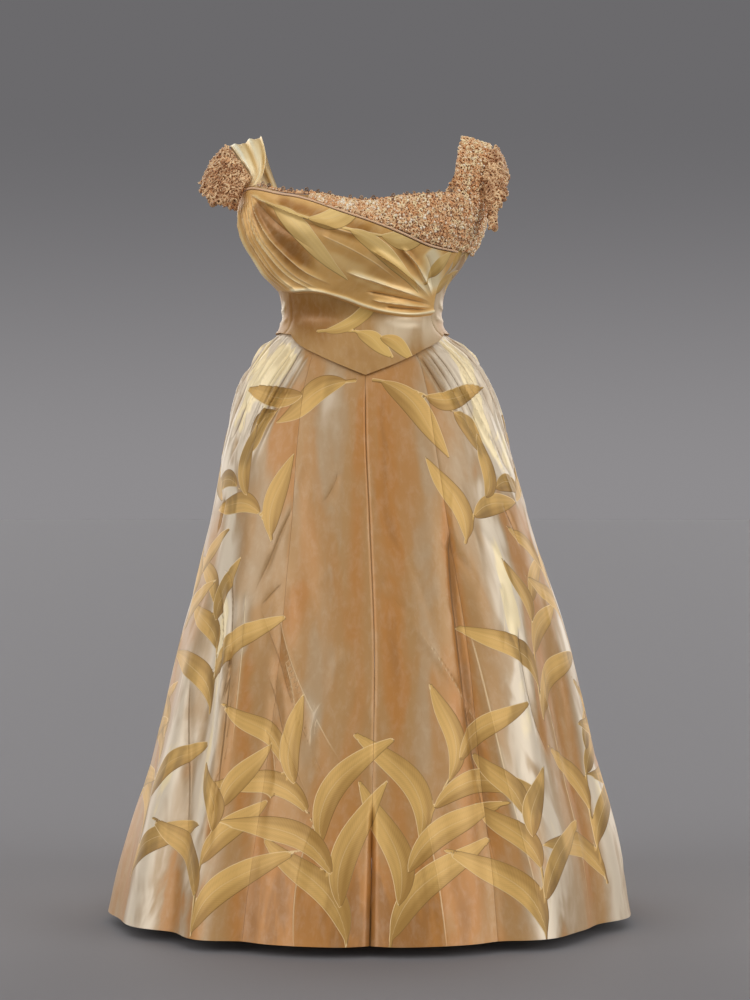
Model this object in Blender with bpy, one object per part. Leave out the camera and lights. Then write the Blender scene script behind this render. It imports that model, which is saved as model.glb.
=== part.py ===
"""A ball gown of about 1900, worn form, hollow: a draped bodice over a gored bell skirt.

Metres, +Z up. The front faces -Y and +X is the wearer's left. The origin is the middle of
the waist, where the skirt's waistband holds the gown up. Every panel lies on one body
surface, which is given by a table of sections and a table of folds. An angle on it runs
from 0 at the centre front, positive towards the wearer's left, to 180 at the centre back.
"""

import math

import bmesh
import bpy
import numpy as np

# ---- Driving dimensions: metres, and degrees where named so ----

WALL = 0.0015               # a panel: silk satin on its stay layer
RUFFLE_WALL = 0.0030        # the gathered lace of a sleeve ruffle
EDGING_WALL = 0.0028
WAISTBAND_WALL = 0.0020
SEAM_GAP = 0.0005           # between panels that are sewn edge to edge

# How far the outer face of each layer stands out from the body surface.
SKIRT_OUT = 0.0
BODICE_OUT = 0.0042
OVERLAY_OUT = 0.0083        # drape, lace inset and placket, over the bodice
PIPING_OUT = 0.0078
EDGING_OUT = 0.0060

HEM_Z = -0.957
SKIRT_TOP_Z = -0.0035
WAISTBAND_HEIGHT = 0.025
FRONT_SEAM_DEG = 28.0       # centre front to front gore seam
SIDE_SEAM_DEG = 82.0
BACK_SEAM_DEG = 130.0
BODICE_FRONT_SEAM_DEG = 60.0
BODICE_BACK_SEAM_DEG = 120.0
BODICE_RADIUS = 0.19        # turns an angle on the bodice into a distance round it

PIPING_DIAMETER = 0.0036
PIPING_RISE = 0.0030        # from the drape's edge up to the piping's middle
EDGING_HEIGHT = 0.0075
EDGING_LIFT = 0.0010        # from the neckline up to the edging
PLACKET_HALF_DEG = 5.0
LAYER_STEP = 0.0030         # an overlay's edge stays this far inside the edge under it

# The body surface, from the hem up.
# z, half_width, front_depth, back_depth, centre_x
SECTIONS = (
    (-0.957, 0.4225, 0.386, 0.530, 0.009),
    (-0.860, 0.4040, 0.360, 0.488, 0.011),
    (-0.720, 0.3660, 0.320, 0.432, 0.013),
    (-0.520, 0.3200, 0.262, 0.365, 0.0155),
    (-0.320, 0.2620, 0.205, 0.298, 0.008),
    (-0.190, 0.2320, 0.168, 0.248, 0.002),
    (-0.110, 0.2090, 0.143, 0.205, 0.001),
    (-0.058, 0.1800, 0.124, 0.162, 0.000),
    (-0.030, 0.1530, 0.112, 0.128, -0.004),
    (-0.012, 0.1350, 0.103, 0.098, -0.005),
    (0.005, 0.1280, 0.099, 0.085, -0.005),
    (0.041, 0.1300, 0.113, 0.086, -0.005),
    (0.066, 0.1380, 0.126, 0.092, -0.005),
    (0.091, 0.1570, 0.140, 0.100, -0.005),
    (0.116, 0.1725, 0.150, 0.110, -0.005),
    (0.140, 0.1870, 0.155, 0.116, -0.005),
    (0.167, 0.1960, 0.151, 0.118, -0.005),
    (0.190, 0.2010, 0.141, 0.116, -0.005),
    (0.230, 0.2010, 0.122, 0.110, -0.005),
)

# The skirt's largest folds. A ridge has a positive depth and a trough a negative one.
# angle_at_waist, angle_at_hem, half_width_deg, depth, z_start, z_full
FOLDS = (
    (0.0, 0.0, 4.0, -0.012, -0.560, -0.900),
    (26.0, 28.5, 4.5, -0.011, -0.250, -0.600),
    (47.0, 39.5, 7.0, 0.014, -0.250, -0.700),
    (59.0, 60.5, 6.0, -0.013, -0.400, -0.700),
    (82.0, 73.0, 8.0, 0.012, -0.450, -0.850),
    (-31.0, -28.5, 4.5, -0.012, -0.300, -0.650),
    (-52.0, -37.0, 6.5, 0.014, -0.200, -0.700),
    (-56.0, -48.0, 5.0, -0.011, -0.300, -0.700),
    (-66.0, -61.0, 7.0, 0.012, -0.350, -0.750),
    (-86.0, -80.0, 7.0, 0.009, -0.720, -0.930),
    (102.0, 98.0, 8.0, -0.014, -0.200, -0.700),
    (-102.0, -97.0, 8.0, -0.015, -0.220, -0.700),
    (116.0, 115.0, 8.0, 0.016, -0.150, -0.650),
    (-118.0, -116.0, 8.0, 0.015, -0.150, -0.650),
    (139.0, 138.0, 5.5, 0.020, -0.060, -0.600),
    (-140.0, -139.0, 5.5, 0.019, -0.060, -0.600),
    (155.0, 154.5, 5.0, 0.024, -0.060, -0.550),
    (-155.0, -155.5, 5.0, 0.025, -0.060, -0.550),
    (170.0, 170.0, 5.0, 0.026, -0.060, -0.550),
    (-170.0, -170.5, 5.0, 0.024, -0.060, -0.550),
)

# The bodice's lower edge, the basque, and its upper edge, the neckline and armholes.
# angle, z
BASQUE = (
    (-180.0, -0.030), (-120.0, -0.018), (-70.0, -0.018), (-51.0, -0.023), (-39.0, -0.040),
    (-24.0, -0.058), (-10.0, -0.077), (0.0, -0.091), (10.0, -0.078), (24.0, -0.060),
    (34.0, -0.048), (46.0, -0.038), (67.0, -0.020), (120.0, -0.018), (180.0, -0.030),
)
NECKLINE = (
    (-180.0, 0.205), (-160.0, 0.208), (-140.0, 0.216), (-118.0, 0.214), (-107.0, 0.186),
    (-95.0, 0.170), (-85.0, 0.176), (-76.0, 0.197), (-68.0, 0.217), (-57.0, 0.218),
    (-48.0, 0.211), (-36.0, 0.201), (-20.0, 0.195), (-9.0, 0.186), (0.0, 0.182), (9.0, 0.184),
    (20.0, 0.191), (34.0, 0.196), (46.0, 0.200), (57.0, 0.203), (68.0, 0.200), (76.0, 0.187),
    (85.0, 0.175), (95.0, 0.170), (107.0, 0.186), (118.0, 0.214), (140.0, 0.216),
    (160.0, 0.208), (180.0, 0.205),
)

# The drape crosses from the wearer's right shoulder to the left waist.
# angle, lower_z, upper_z
DRAPE_EDGES = (
    (-102.0, 0.052, 0.168),
    (-90.0, 0.053, 0.168),
    (-82.0, 0.052, 0.177),
    (-75.0, 0.051, 0.192),
    (-68.0, 0.049, 0.208),
    (-60.0, 0.047, 0.212),
    (-52.0, 0.046, 0.208),
    (-40.0, 0.046, 0.198),
    (-29.0, 0.043, 0.190),
    (-10.0, 0.030, 0.166),
    (4.0, 0.018, 0.150),
    (18.0, 0.010, 0.135),
    (37.0, 0.006, 0.118),
    (60.0, 0.012, 0.113),
)
# The drape's largest folds, each a ridge from one point to another on the bodice.
# start_angle, start_z, end_angle, end_z, half_width, depth
DRAPE_FOLDS = (
    (-66.0, 0.210, -16.0, 0.140, 0.012, 0.008),
    (-68.0, 0.200, -34.0, 0.080, 0.012, 0.007),
    (-74.0, 0.185, -52.0, 0.062, 0.012, 0.007),
    (4.0, 0.104, 50.0, 0.042, 0.013, 0.007),
    (8.0, 0.026, 58.0, 0.026, 0.010, 0.006),
)
# The bodice and what lies on it share one spacing of columns, so that their facets match,
# and its panels have equal rows, so that their seams do.
COLUMN_DEG = 6.0
BODICE_ROWS = 9
LACE_DEG = (-24.0, 90.0)
PIPING_DEG = (-66.0, 60.0)
EDGING_DEG = (-56.0, 48.0)

# Between its feet on the bodice, a strap passes through these points of its two edges.
# share_of_length, x, y, z
STRAP_RIGHT_FEET_DEG = (-57.0, -68.0, -138.0, -121.0)   # front and back, inner and outer
STRAP_RIGHT_INNER = ((0.12, -0.166, -0.067, 0.241), (0.30, -0.162, -0.046, 0.275),
                     (0.50, -0.171, 0.000, 0.311), (0.75, -0.160, 0.054, 0.270))
STRAP_RIGHT_OUTER = ((0.12, -0.186, -0.052, 0.237), (0.30, -0.204, -0.038, 0.269),
                     (0.50, -0.222, 0.000, 0.294), (0.75, -0.207, 0.044, 0.262))
STRAP_LEFT_FEET_DEG = (49.0, 67.0, 138.0, 121.0)
STRAP_LEFT_INNER = ((0.12, 0.147, -0.083, 0.238), (0.30, 0.152, -0.050, 0.278),
                    (0.50, 0.161, 0.000, 0.309), (0.75, 0.155, 0.056, 0.270))
STRAP_LEFT_OUTER = ((0.12, 0.196, -0.043, 0.240), (0.30, 0.204, -0.032, 0.272),
                    (0.50, 0.208, 0.000, 0.295), (0.75, 0.200, 0.042, 0.262))

# The free edge of each sleeve ruffle, front to back, and how far it swells.
# share_of_length, x, y, z, swell
RUFFLE_RIGHT_EDGE = (
    (0.00, -0.215, -0.078, 0.180, 0.003),
    (0.12, -0.241, -0.068, 0.184, 0.006),
    (0.30, -0.256, -0.042, 0.207, 0.007),
    (0.50, -0.262, 0.000, 0.231, 0.005),
    (0.75, -0.248, 0.046, 0.210, 0.006),
    (1.00, -0.208, 0.076, 0.186, 0.003),
)
RUFFLE_LEFT_EDGE = (
    (0.00, 0.200, -0.094, 0.120, 0.005),
    (0.12, 0.211, -0.085, 0.146, 0.007),
    (0.30, 0.217, -0.062, 0.200, 0.006),
    (0.50, 0.226, 0.000, 0.243, 0.004),
    (0.75, 0.220, 0.052, 0.208, 0.006),
    (1.00, 0.196, 0.086, 0.160, 0.005),
)
RUFFLE_FLUTES = 4
RUFFLE_FLUTE_DEPTH = 0.004
RUFFLE_LIFT = 0.0045        # from the strap's edge to the ruffle's gathered edge
RUFFLE_OUT = 0.0080         # its outer face stands out from the curve of its edges
RUFFLE_SPAN = (0.11, 0.90)  # the stretch of a strap's outer edge that carries the ruffle
FOOT_LIFT = 0.0025          # from the neckline up to a strap's foot

CHAMPAGNE = (0.56, 0.38, 0.20)
GOLD = (0.62, 0.43, 0.19)
COPPER_LACE = (0.45, 0.24, 0.14)
CREAM = (0.66, 0.58, 0.46)
ROSE_GOLD = (0.62, 0.40, 0.26)

STEP = 1e-3                 # the step that a surface's slopes are taken over


# ---- Curves through tables ----

def slope(rows, i, column):
    """Slope of a column at row i: the mean of the runs beside it."""
    runs = []
    for a in (i - 1, i):
        if 0 <= a < len(rows) - 1:
            runs.append((rows[a + 1][column] - rows[a][column]) / (rows[a + 1][0] - rows[a][0]))
    return sum(runs) / len(runs)


def smooth(rows, x):
    """The other columns of a table at x, on smooth curves through its rows."""
    x = min(max(x, rows[0][0]), rows[-1][0])
    i = 0
    while i < len(rows) - 2 and rows[i + 1][0] <= x:
        i += 1
    span = rows[i + 1][0] - rows[i][0]
    t = (x - rows[i][0]) / span
    values = []
    for column in range(1, len(rows[0])):
        values.append(
            rows[i][column] * (2 * t ** 3 - 3 * t ** 2 + 1)
            + slope(rows, i, column) * span * (t ** 3 - 2 * t ** 2 + t)
            + rows[i + 1][column] * (3 * t ** 2 - 2 * t ** 3)
            + slope(rows, i + 1, column) * span * (t ** 3 - t ** 2))
    return values


def straight(rows, x):
    """The last column of a two-column table at x, on straight lines."""
    return float(np.interp(x, [row[0] for row in rows], [row[1] for row in rows]))


def ramp(value, start, full):
    """0 before start, 1 past full, and an even rise between."""
    t = min(max((value - start) / (full - start), 0.0), 1.0)
    return t * t * (3 - 2 * t)


# ---- The body surface ----

def fold_height(angle, z):
    """How far the skirt's folds push the surface out at one place."""
    height = 0.0
    for at_waist, at_hem, half_width, depth, z_start, z_full in FOLDS:
        middle = at_waist + (at_hem - at_waist) * z / HEM_Z
        away = (angle - middle + 180.0) % 360.0 - 180.0
        height += depth * ramp(-z, -z_start, -z_full) * math.exp(-(away / half_width) ** 2)
    return height


def on_body(angle, z):
    """A point of the body surface."""
    half_width, front, back, centre = smooth(SECTIONS, z)
    fold = fold_height(angle, z) if z < 0 else 0.0
    turn = math.radians(angle)
    depth = front if math.cos(turn) > 0 else back
    return np.array((centre + (half_width + fold) * math.sin(turn),
                     -(depth + fold) * math.cos(turn), z))


def raised(base, u, v, out):
    """The point of base(u, v), moved out along the surface's own normal."""
    across = base(u + STEP, v) - base(u - STEP, v)
    up = base(u, v + STEP) - base(u, v - STEP)
    normal = np.cross(across, up)
    return base(u, v) + normal / np.linalg.norm(normal) * out


def between(start, end, low, high, gather=0.0):
    """The surface between two seam angles and two edges, which are functions of the angle.

    gather packs the rows of a tall panel towards its upper edge.
    """
    def base(u, v):
        angle = start + (end - start) * u
        share = v * (1 + gather - gather * v)
        z = low(angle) + (high(angle) - low(angle)) * share
        half_width, front, back, _ = smooth(SECTIONS, z)
        gap = math.degrees(SEAM_GAP / 2 / min(half_width, front, back))
        return on_body(angle + gap * (1 - 2 * u), z)
    return base


# ---- Solids ----

def material(name, colour, roughness):
    made = bpy.data.materials.new(name)
    made.use_nodes = True
    shader = made.node_tree.nodes["Principled BSDF"]
    shader.inputs["Base Color"].default_value = (*colour, 1.0)
    shader.inputs["Roughness"].default_value = roughness
    return made


def add_object(name, data, colour, roughness):
    item = bpy.data.objects.new(name, data)
    item.data.materials.append(material(name, colour, roughness))
    gown.objects.link(item)
    return item


def cloth(name, base, columns, rows, out, wall=WALL, colour=CHAMPAGNE, roughness=0.38):
    """A wall of cloth: a grid laid on a surface as its outer face, and thickened inwards."""
    mesh = bmesh.new()
    bmesh.ops.create_grid(mesh, x_segments=columns, y_segments=rows, size=0.5)
    grown = bmesh.ops.extrude_face_region(mesh, geom=mesh.faces[:])["geom"]
    for vert in grown:
        if isinstance(vert, bmesh.types.BMVert):
            vert.co.z = 1.0
    for vert in mesh.verts:
        vert.co = raised(base, vert.co.x + 0.5, vert.co.y + 0.5, out - wall * vert.co.z)
    bmesh.ops.recalc_face_normals(mesh, faces=mesh.faces[:])
    bmesh.ops.triangulate(mesh, faces=mesh.faces[:])
    data = bpy.data.meshes.new(name)
    mesh.to_mesh(data)
    mesh.free()
    data.shade_smooth()
    data.set_sharp_from_angle(angle=math.radians(40))
    return add_object(name, data, colour, roughness)


# ---- The gown's pieces ----

def bodice_columns(span_deg):
    """How many columns of the bodice's spacing fill a span of angles."""
    return round(span_deg / COLUMN_DEG)


def basque(angle):
    return straight(BASQUE, angle)


def neckline(angle):
    return smooth(NECKLINE, angle)[0]


def drape_lower(angle):
    return smooth(DRAPE_EDGES, angle)[0]


def drape_upper(angle):
    return smooth(DRAPE_EDGES, angle)[1]


def level(z):
    return lambda angle: z


def skirt():
    """Eight gores, a seam down the centre front and the centre back."""
    seams = (0.0, FRONT_SEAM_DEG, SIDE_SEAM_DEG, BACK_SEAM_DEG, 180.0)
    gores = ("front", "side_front", "side_back", "back")
    counts = (6, 10, 8, 12)
    for gore, start, end, count in zip(gores, seams, seams[1:], counts):
        for side, turn in (("left", 1), ("right", -1)):
            angles = sorted((start * turn, end * turn))
            base = between(*angles, level(HEM_Z), level(SKIRT_TOP_Z), gather=0.7)
            cloth(f"skirt_{gore}_{side}", base, count, 11, SKIRT_OUT)


def waistband():
    """A band round the waist, inside the bodice, open at the centre back."""
    low = SKIRT_TOP_Z + SEAM_GAP
    base = between(-179.8, 179.8, level(low), level(low + WAISTBAND_HEIGHT))
    cloth("skirt_waistband", base, 30, 1, SKIRT_OUT, wall=WAISTBAND_WALL, colour=CREAM)


def bodice():
    """A front, two sides and two backs, from the basque's edge to the neckline."""
    front = between(-BODICE_FRONT_SEAM_DEG, BODICE_FRONT_SEAM_DEG, basque, neckline)
    cloth("bodice_front", front, bodice_columns(2 * BODICE_FRONT_SEAM_DEG), BODICE_ROWS,
          BODICE_OUT)
    for side, turn in (("left", 1), ("right", -1)):
        seams = (BODICE_FRONT_SEAM_DEG * turn, BODICE_BACK_SEAM_DEG * turn, 180.0 * turn)
        for piece, angles in (("side", seams[:2]), ("back", seams[1:])):
            start, end = sorted(angles)
            base = between(start, end, basque, neckline)
            cloth(f"bodice_{piece}_{side}", base, bodice_columns(end - start), BODICE_ROWS,
                  BODICE_OUT)
    placket = between(180.0 - PLACKET_HALF_DEG, 180.0 + PLACKET_HALF_DEG,
                      level(basque(180.0) + LAYER_STEP), level(neckline(180.0) - LAYER_STEP))
    cloth("bodice_back_placket", placket, 2, BODICE_ROWS, OVERLAY_OUT)


def drape_fold_height(angle, z):
    """How far the drape's folds push it out: soft ridges between pairs of points."""
    girth = math.radians(BODICE_RADIUS)     # metres to a degree round the bodice
    height = 0.0
    for start_angle, start_z, end_angle, end_z, half_width, depth in DRAPE_FOLDS:
        run = np.array(((end_angle - start_angle) * girth, end_z - start_z))
        place = np.array(((angle - start_angle) * girth, z - start_z))
        along = float(place @ run / (run @ run))
        across = abs(float(run[0] * place[1] - run[1] * place[0])) / float(np.linalg.norm(run))
        ends = ramp(along, -0.05, 0.2) * (1 - ramp(along, 0.75, 1.1))
        height += depth * ends * math.exp(-(across / half_width) ** 2)
    return height


def drape():
    """The folded satin front, on the bodice from its side seam to the left waist."""
    start, end = DRAPE_EDGES[0][0], DRAPE_EDGES[-1][0]
    flat = between(start, end, drape_lower, drape_upper)

    def base(u, v):
        angle = start + (end - start) * u
        z = drape_lower(angle) + (drape_upper(angle) - drape_lower(angle)) * v
        return raised(flat, u, v, OVERLAY_OUT + drape_fold_height(angle, z))

    cloth("bodice_drape", base, bodice_columns(end - start), BODICE_ROWS, 0.0, colour=GOLD)


def piping():
    """A cord along the drape's upper edge, in the groove before the lace."""
    start, end = PIPING_DEG
    count = bodice_columns(end - start) + 1
    base = between(start, end, lambda angle: drape_upper(angle) + PIPING_RISE,
                   lambda angle: drape_upper(angle) + 2 * PIPING_RISE)
    curve = bpy.data.curves.new("drape_piping", "CURVE")
    curve.dimensions = "3D"
    curve.bevel_depth = PIPING_DIAMETER / 2
    curve.bevel_resolution = 2
    curve.use_fill_caps = True
    spline = curve.splines.new("POLY")
    spline.points.add(count - 1)
    for i, point in enumerate(spline.points):
        point.co = (*raised(base, i / (count - 1), 0.0, PIPING_OUT), 1.0)
    add_object("drape_piping", curve, ROSE_GOLD, 0.45)


def lace_inset():
    """The beaded lace between the drape's edge and the neckline."""
    start, end = LACE_DEG
    base = between(start, end, lambda angle: drape_upper(angle) + 2 * PIPING_RISE,
                   lambda angle: neckline(angle) - SEAM_GAP)
    cloth("lace_inset", base, bodice_columns(end - start), 5, OVERLAY_OUT, colour=COPPER_LACE,
          roughness=0.6)


def neckline_edging():
    """A scalloped band standing on the front neckline."""
    base = between(*EDGING_DEG, lambda angle: neckline(angle) + EDGING_LIFT,
                   lambda angle: neckline(angle) + EDGING_HEIGHT)
    cloth("neckline_edging", base, 22, 1, EDGING_OUT, wall=EDGING_WALL, colour=COPPER_LACE,
          roughness=0.6)


def strap_edge(front_deg, points, back_deg):
    """One edge of a strap as a table: a foot on the bodice at each end, points between."""
    feet = []
    for angle in (front_deg, back_deg):
        above = between(angle - 1.0, angle + 1.0, lambda a: neckline(a) + FOOT_LIFT,
                        lambda a: neckline(a) + 0.01)
        feet.append(tuple(raised(above, 0.5, 0.0, BODICE_OUT)))
    return ((0.0, *feet[0]), *points, (1.0, *feet[1]))


def strap(name, edges, side, colour, roughness):
    """A band over the shoulder, between its inner and outer edges."""
    def base(u, v):
        share = u if side > 0 else 1 - u
        inner = np.array(smooth(edges[0], v))
        outer = np.array(smooth(edges[1], v))
        return inner + (outer - inner) * share
    cloth(name, base, 3, 12, 0.0, colour=colour, roughness=roughness)


def ruffle(name, strap_outer, free_edge, side):
    """Gathered lace from a strap's outer edge to its own free edge, in soft flutes."""
    def base(u, v):
        reach = u if side > 0 else 1 - u
        first, last = RUFFLE_SPAN
        gathered = np.array(smooth(strap_outer, first + (last - first) * v))
        *free, swell = smooth(free_edge, v)
        across = np.array(free) - gathered
        outward = side * np.array((-across[2], 0.0, across[0]))
        outward /= np.linalg.norm(outward)
        fluting = RUFFLE_FLUTE_DEPTH * math.sin(2 * math.pi * RUFFLE_FLUTES * v) * reach
        start = gathered + RUFFLE_LIFT * across / np.linalg.norm(across)
        height = 4 * reach * (1 - reach) * swell + fluting
        return start + (np.array(free) - start) * reach + outward * height
    cloth(name, base, 4, 16, RUFFLE_OUT, wall=RUFFLE_WALL, colour=COPPER_LACE, roughness=0.7)


def sleeves():
    """A strap and a ruffle on each shoulder; the left strap is lace, the right one satin."""
    sides = (
        ("right", -1, STRAP_RIGHT_FEET_DEG, STRAP_RIGHT_INNER, STRAP_RIGHT_OUTER,
         RUFFLE_RIGHT_EDGE, GOLD, 0.35),
        ("left", 1, STRAP_LEFT_FEET_DEG, STRAP_LEFT_INNER, STRAP_LEFT_OUTER,
         RUFFLE_LEFT_EDGE, COPPER_LACE, 0.7),
    )
    for name, side, feet, inner, outer, free_edge, colour, roughness in sides:
        inner_edge = strap_edge(feet[0], inner, feet[2])
        outer_edge = strap_edge(feet[1], outer, feet[3])
        strap(f"strap_{name}", (inner_edge, outer_edge), side, colour, roughness)
        ruffle(f"sleeve_ruffle_{name}", outer_edge, free_edge, side)


for old in list(bpy.data.objects):
    bpy.data.objects.remove(old)

gown = bpy.data.collections.new("Ball_Gown")
bpy.context.scene.collection.children.link(gown)

skirt()
waistband()
bodice()
drape()
piping()
lace_inset()
neckline_edging()
sleeves()
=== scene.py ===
"""The looks of a ball gown of about 1900: satin woven with gold leaves, and beaded lace.

Metres, +Z up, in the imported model's frame: the front faces -Y, +X is the wearer's left, and
the origin is the middle of the waist. An angle on the body surface runs from 0 at the
centre front, positive towards the wearer's left, to 180 at the centre back.
"""

import math

import bmesh
import bpy
import numpy as np
from mathutils import Matrix, Vector


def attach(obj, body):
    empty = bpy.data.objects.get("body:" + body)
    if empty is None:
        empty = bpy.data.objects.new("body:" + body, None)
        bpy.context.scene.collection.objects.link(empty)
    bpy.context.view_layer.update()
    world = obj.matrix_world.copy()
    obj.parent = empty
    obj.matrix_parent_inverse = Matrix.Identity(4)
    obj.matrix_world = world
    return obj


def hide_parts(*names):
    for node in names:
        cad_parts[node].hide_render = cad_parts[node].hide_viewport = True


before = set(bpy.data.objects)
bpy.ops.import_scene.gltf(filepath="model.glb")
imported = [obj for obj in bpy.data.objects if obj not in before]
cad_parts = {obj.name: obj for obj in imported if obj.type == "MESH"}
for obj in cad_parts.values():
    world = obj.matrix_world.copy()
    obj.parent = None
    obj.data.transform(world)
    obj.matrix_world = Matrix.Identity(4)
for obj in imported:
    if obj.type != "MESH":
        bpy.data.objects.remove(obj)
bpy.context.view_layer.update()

# ---- The gown's sizes, as its solids have them ----

WALL = 0.0015
RUFFLE_WALL = 0.0030
EDGING_WALL = 0.0028
WAISTBAND_WALL = 0.0020
SEAM_GAP = 0.0003           # between two panels that are sewn together
# How far the outer face of each layer stands off the body surface.
BODICE_OUT = 0.0042
OVERLAY_OUT = 0.0083
PIPING_OUT = 0.0078
EDGING_OUT = 0.0060

HEM_Z = -0.957
SKIRT_TOP_Z = -0.0035
WAISTBAND_HEIGHT = 0.025
PIPING_DIAMETER = 0.0036
PIPING_RISE = 0.0030        # how far its middle line runs above the drape's upper edge
EDGING_LIFT, EDGING_HEIGHT = 0.0010, 0.0075     # its foot and its top above the neckline
PLACKET_HALF_DEG = 5.0      # half its width
LAYER_STEP = 0.0030         # how far it stops short of the bodice's edges
FOOT_LIFT = 0.0025          # how far above the neckline a strap's foot is

# The body surface, from the hem up.
# z, half_width, front_depth, back_depth, centre_x
SECTIONS = (
    (-0.957, 0.4225, 0.386, 0.530, 0.009),
    (-0.860, 0.4040, 0.360, 0.488, 0.011),
    (-0.720, 0.3660, 0.320, 0.432, 0.013),
    (-0.520, 0.3200, 0.262, 0.365, 0.0155),
    (-0.320, 0.2620, 0.205, 0.298, 0.008),
    (-0.190, 0.2320, 0.168, 0.248, 0.002),
    (-0.110, 0.2090, 0.143, 0.205, 0.001),
    (-0.058, 0.1800, 0.124, 0.162, 0.000),
    (-0.030, 0.1530, 0.112, 0.128, -0.004),
    (-0.012, 0.1350, 0.103, 0.098, -0.005),
    (0.005, 0.1280, 0.099, 0.085, -0.005),
    (0.041, 0.1300, 0.113, 0.086, -0.005),
    (0.066, 0.1380, 0.126, 0.092, -0.005),
    (0.091, 0.1570, 0.140, 0.100, -0.005),
    (0.116, 0.1725, 0.150, 0.110, -0.005),
    (0.140, 0.1870, 0.155, 0.116, -0.005),
    (0.167, 0.1960, 0.151, 0.118, -0.005),
    (0.190, 0.2010, 0.141, 0.116, -0.005),
    (0.230, 0.2010, 0.122, 0.110, -0.005),
)

# The skirt's largest folds. A ridge has a positive depth and a trough a negative one.
# angle_at_waist, angle_at_hem, half_width_deg, depth, z_start, z_full
FOLDS = (
    (0.0, 0.0, 4.0, -0.012, -0.560, -0.900),
    (26.0, 28.5, 4.5, -0.011, -0.250, -0.600),
    (47.0, 39.5, 7.0, 0.014, -0.250, -0.700),
    (59.0, 60.5, 6.0, -0.013, -0.400, -0.700),
    (82.0, 73.0, 8.0, 0.012, -0.450, -0.850),
    (-31.0, -28.5, 4.5, -0.012, -0.300, -0.650),
    (-52.0, -37.0, 6.5, 0.014, -0.200, -0.700),
    (-56.0, -48.0, 5.0, -0.011, -0.300, -0.700),
    (-66.0, -61.0, 7.0, 0.012, -0.350, -0.750),
    (-86.0, -80.0, 7.0, 0.009, -0.720, -0.930),
    (102.0, 98.0, 8.0, -0.014, -0.200, -0.700),
    (-102.0, -97.0, 8.0, -0.015, -0.220, -0.700),
    (116.0, 115.0, 8.0, 0.016, -0.150, -0.650),
    (-118.0, -116.0, 8.0, 0.015, -0.150, -0.650),
    (139.0, 138.0, 5.5, 0.020, -0.060, -0.600),
    (-140.0, -139.0, 5.5, 0.019, -0.060, -0.600),
    (155.0, 154.5, 5.0, 0.024, -0.060, -0.550),
    (-155.0, -155.5, 5.0, 0.025, -0.060, -0.550),
    (170.0, 170.0, 5.0, 0.026, -0.060, -0.550),
    (-170.0, -170.5, 5.0, 0.024, -0.060, -0.550),
)

# angle, z
BASQUE = (
    (-180.0, -0.030), (-120.0, -0.018), (-70.0, -0.018), (-51.0, -0.023), (-39.0, -0.040),
    (-24.0, -0.058), (-10.0, -0.077), (0.0, -0.091), (10.0, -0.078), (24.0, -0.060),
    (34.0, -0.048), (46.0, -0.038), (67.0, -0.020), (120.0, -0.018), (180.0, -0.030),
)
NECKLINE = (
    (-180.0, 0.205), (-160.0, 0.208), (-140.0, 0.216), (-118.0, 0.214), (-107.0, 0.186),
    (-95.0, 0.170), (-85.0, 0.176), (-76.0, 0.197), (-68.0, 0.217), (-57.0, 0.218),
    (-48.0, 0.211), (-36.0, 0.201), (-20.0, 0.195), (-9.0, 0.186), (0.0, 0.182), (9.0, 0.184),
    (20.0, 0.191), (34.0, 0.196), (46.0, 0.200), (57.0, 0.203), (68.0, 0.200), (76.0, 0.187),
    (85.0, 0.175), (95.0, 0.170), (107.0, 0.186), (118.0, 0.214), (140.0, 0.216),
    (160.0, 0.208), (180.0, 0.205),
)
# angle, lower_z, upper_z
DRAPE_EDGES = (
    (-102.0, 0.052, 0.168), (-90.0, 0.053, 0.168), (-82.0, 0.052, 0.177),
    (-75.0, 0.051, 0.192), (-68.0, 0.049, 0.208), (-60.0, 0.047, 0.212),
    (-52.0, 0.046, 0.208), (-40.0, 0.046, 0.198), (-29.0, 0.043, 0.190),
    (-10.0, 0.030, 0.166), (4.0, 0.018, 0.150), (18.0, 0.010, 0.135),
    (37.0, 0.006, 0.118), (60.0, 0.012, 0.113),
)
LACE_DEG = (-24.0, 90.0)
PIPING_DEG = (-66.0, 60.0)
EDGING_DEG = (-56.0, 48.0)

# Between its feet on the bodice, a strap passes through these points of its two edges.
# share_of_length, x, y, z
STRAP_RIGHT_FEET_DEG = (-57.0, -68.0, -138.0, -121.0)   # front and back, inner and outer
STRAP_RIGHT_INNER = ((0.12, -0.166, -0.067, 0.241), (0.30, -0.162, -0.046, 0.275),
                     (0.50, -0.171, 0.000, 0.311), (0.75, -0.160, 0.054, 0.270))
STRAP_RIGHT_OUTER = ((0.12, -0.186, -0.052, 0.237), (0.30, -0.204, -0.038, 0.269),
                     (0.50, -0.222, 0.000, 0.294), (0.75, -0.207, 0.044, 0.262))
STRAP_LEFT_FEET_DEG = (49.0, 67.0, 138.0, 121.0)
STRAP_LEFT_INNER = ((0.12, 0.147, -0.083, 0.238), (0.30, 0.152, -0.050, 0.278),
                    (0.50, 0.161, 0.000, 0.309), (0.75, 0.155, 0.056, 0.270))
STRAP_LEFT_OUTER = ((0.12, 0.196, -0.043, 0.240), (0.30, 0.204, -0.032, 0.272),
                    (0.50, 0.208, 0.000, 0.295), (0.75, 0.200, 0.042, 0.262))
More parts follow.
